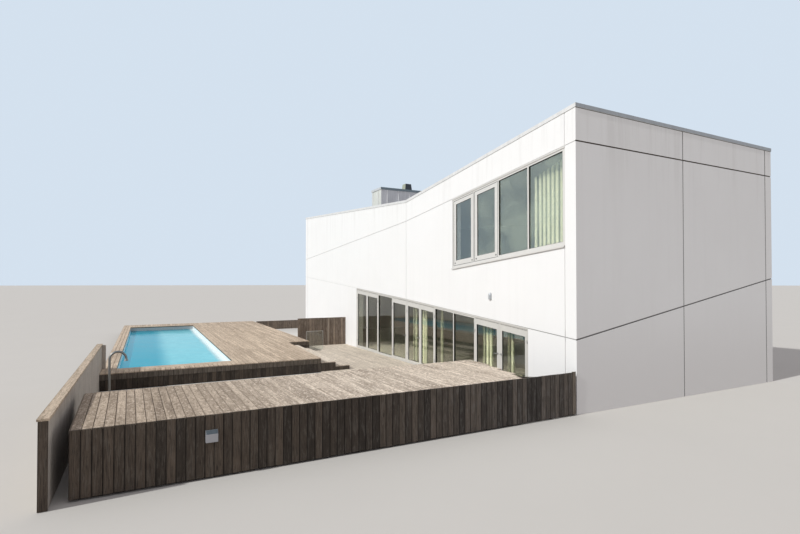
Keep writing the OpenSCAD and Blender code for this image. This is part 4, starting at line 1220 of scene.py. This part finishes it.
def build_sash_screws():
    """A dark screw near each lower corner of the two opening sashes."""
    shape = Shape()
    sash_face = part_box("upper_window_sashes")[0].x
    for flat, x0, _ in loose_panes("upper_window_glass"):
        if x0 > sash_face + SASH_OUT:
            continue
        for side, out in zip(span(flat, 0), (-SCREW_IN, SCREW_IN)):
            foot = min(p[1] for p in flat if abs(p[0] - side) < 0.01)
            shape.disc((sash_face, side + out, foot - SCREW_DOWN), *SCREW_HEAD)
    shape.make("sash_screws", "rubber")


def coping_edge():
    """The lower edge of the coping along the window side: its height at rising y."""
    mesh = nodes["roof_coping"].data
    x = min(v.co.x for v in mesh.vertices)
    lows = {}
    for v in mesh.vertices:
        if abs(v.co.x - x) < 0.001:
            y = round(v.co.y, 3)
            lows[y] = min(v.co.z, lows.get(y, BEYOND))
    return sorted(lows.items())


# Depth and heights of the painted shadow strips under the coping.
SHADOW_PROUD = 0.0015
SIDE_SHADOW = 0.010
END_SHADOW = 0.018


def build_coping_shadow():
    """Strips under the lower edge of the coping, a painted shadow of its edge: pale along the long walls
    and darker on the blank ends.
    """
    ys, zs = zip(*coping_edge())

    def height(y):
        return float(np.interp(y, ys, zs))

    x0, (x1, y1, _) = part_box("facade_low_near")[0].x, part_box("back_wall_far")[1]
    y0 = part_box("gable_wall_near")[0].y
    stops = [y0, *(y for y in ys if y0 + 0.1 < y < y1 - 0.1), y1]
    sides, ends = Shape(), Shape()
    for left, right in ((x0 - SHADOW_PROUD, x0), (x1, x1 + SHADOW_PROUD)):
        for piece in zip(stops, stops[1:]):
            sides.solid(*([(left, y, height(y) - SIDE_SHADOW), (left, y, height(y)),
                           (right, y, height(y)), (right, y, height(y) - SIDE_SHADOW)] for y in piece))
    sides.make("coping_shadow_sides", "pale_shadow_gap")
    for y, near, far in ((y0, y0 - SHADOW_PROUD, y0), (y1, y1, y1 + SHADOW_PROUD)):
        ends.block((x0, near, height(y) - END_SHADOW), (x1, far, height(y)))
    ends.make("coping_shadow_ends", "shadow_gap")


GUARD_EDGE = 0.012
GUARD_PROUD = 0.002


def build_guard_trim():
    """Pale metal edges along the top and the two ends of the glass guard."""
    low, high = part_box("glass_guard")
    near, far, top = low.y - GUARD_PROUD, high.y + GUARD_PROUD, high.z - GUARD_EDGE
    shape = Shape()
    shape.block((low.x, near, top), (high.x, far, high.z + GUARD_PROUD))
    for x in (low.x, high.x - GUARD_EDGE):
        shape.block((x, near, low.z), (x + GUARD_EDGE, far, top))
    shape.make("guard_trim", "trim")


PANE_RIM = 0.004
PANE_THICK = 0.003


def build_lamp_glass():
    """The dark pane on the sloped top of the skirt lamp."""
    low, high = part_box("skirt_lamp")
    mesh = nodes["skirt_lamp"].data
    front_top = max(v.co.z for v in mesh.vertices if abs(v.co.y - low.y) < 0.001)
    foot, head = Vector((0, low.y, front_top)), Vector((0, high.y, high.z))
    along = (head - foot).normalized()
    up = Vector((0, -along.z, along.y))
    outline = rectangle(low.x + PANE_RIM, PANE_RIM, high.x - PANE_RIM, (head - foot).length - PANE_RIM)
    shape = Shape()
    shape.solid(*([foot + along * t + up * rise + Vector((x, 0, 0)) for x, t in outline]
                  for rise in (0.0, PANE_THICK)))
    shape.make("skirt_lamp_pane", "lens")


# Curtains, water and floor

PLEAT = 0.15
PLEAT_COLUMNS = 16
PLEAT_ROWS = 26
PLEAT_SWING = 0.48
PLEAT_SWAY = 0.024
CLOTH_GAPS = (0.006, 0.012, 0.004)


def build_curtains():
    """Gathered curtains, each a pleated sheet inside its plain CAD slab."""
    side_gap, foot_gap, head_gap = CLOTH_GAPS
    for k, (flat, x0, x1) in enumerate(loose_panes("curtains")):
        near, far = span(flat, 0)
        foot = span(flat, 1)[0] + foot_gap
        heads = sorted((p for p in flat if p[1] > foot + 0.5), key=lambda p: p[0])
        left, right = heads[0][1], heads[-1][1]
        pleats = max(2, round((far - near) / PLEAT))
        columns = pleats * PLEAT_COLUMNS
        middle, swing = (x0 + x1) / 2, (x1 - x0) * PLEAT_SWING
        rng = random.Random(80 + k)
        wobble = [rng.uniform(0.6, 1.0) for _ in range(pleats + 1)]
        drift = [rng.uniform(-0.25, 0.25) for _ in range(pleats + 1)]

        def spot(c, r):
            s, v = c / columns, r / PLEAT_ROWS
            at = s * pleats
            i = min(int(at), pleats - 1)
            size, lean = (a[i] * (1 - (at - i)) + a[i + 1] * (at - i) for a in (wobble, drift))
            phase = 2 * math.pi * at + lean * math.sin(2.2 * v + i)
            sway = PLEAT_SWAY * math.sin(2 * phase) * min(1.0, 6 * s, 6 - 6 * s)
            top = left + (right - left) * s - head_gap
            return (middle + swing * size * (0.8 + 0.2 * (1 - v)) * math.sin(phase),
                    near + side_gap + s * (far - near - 2 * side_gap) + sway, foot + (top - foot) * v)

        shape = Shape()
        shape.grid(columns, PLEAT_ROWS, spot)
        row = [Vector(spot(c, PLEAT_ROWS // 2)) for c in range(columns + 1)]
        arc = sum((b - a).length for a, b in zip(row, row[1:]))
        piece = shape.make(f"curtain_{k + 1}", "cloth", smooth=True)
        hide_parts("curtains")


WATER_GRID = (24, 96)


def build_water():
    hole = min(top_loops("pool_deck"), key=lambda loop: abs(area(loop)))
    (x0, x1), (y0, y1) = span(hole, 0), span(hole, 1)
    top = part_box("pool_deck")[1].z - WATER_GAP
    M["water"] = water_material(Vector((x0, y0, 0)), Vector((x1, y1, 0)))

    def spot(c, r):
        x, y = x0 + (x1 - x0) * c / WATER_GRID[0], y0 + (y1 - y0) * r / WATER_GRID[1]
        return x, y, top + 0.003 * math.sin(3.1 * x + 1.3 * y) * math.sin(2.3 * y - 0.7 * x)

    shape = Shape()
    shape.grid(*WATER_GRID, spot)
    shape.make("pool_water", "water", smooth=True)


def build_floor():
    turns = [2 * math.pi * i / FLOOR_SIDES for i in range(FLOOR_SIDES)]
    verts = [(0, 0, -FLOOR_DROP)]
    verts += [(FLOOR_RADIUS * math.cos(t), FLOOR_RADIUS * math.sin(t), -FLOOR_DROP) for t in turns]
    mesh = bpy.data.meshes.new("ground")
    mesh.from_pydata(verts, [], [(0, i + 1, (i + 1) % FLOOR_SIDES + 1) for i in range(FLOOR_SIDES)])
    mesh.update()
    n = surface("ground")
    n.base = n.mix(n.noise(n.place(), 0.5, 4), FLOOR_COLOUR, shade(FLOOR_COLOUR, 0.96))
    n.fill(n.shader, Base_Color=n.base, Roughness=0.95, Specular_IOR_Level=0.1)
    mesh.materials.append(n.owner)
    in_scene("ground", mesh)


place_camera()
place_light()
paint_world()
dress_nodes()
build_platform()
build_pool_deck()
build_deck_skirts()
build_terrace()
build_steps()
build_fence()
build_screens()
build_beads()
build_gaskets()
build_sash_screws()
build_coping_shadow()
build_guard_trim()
build_lamp_glass()
build_curtains()
build_water()
build_floor()

bpy.context.scene.view_settings.view_transform = "Standard"
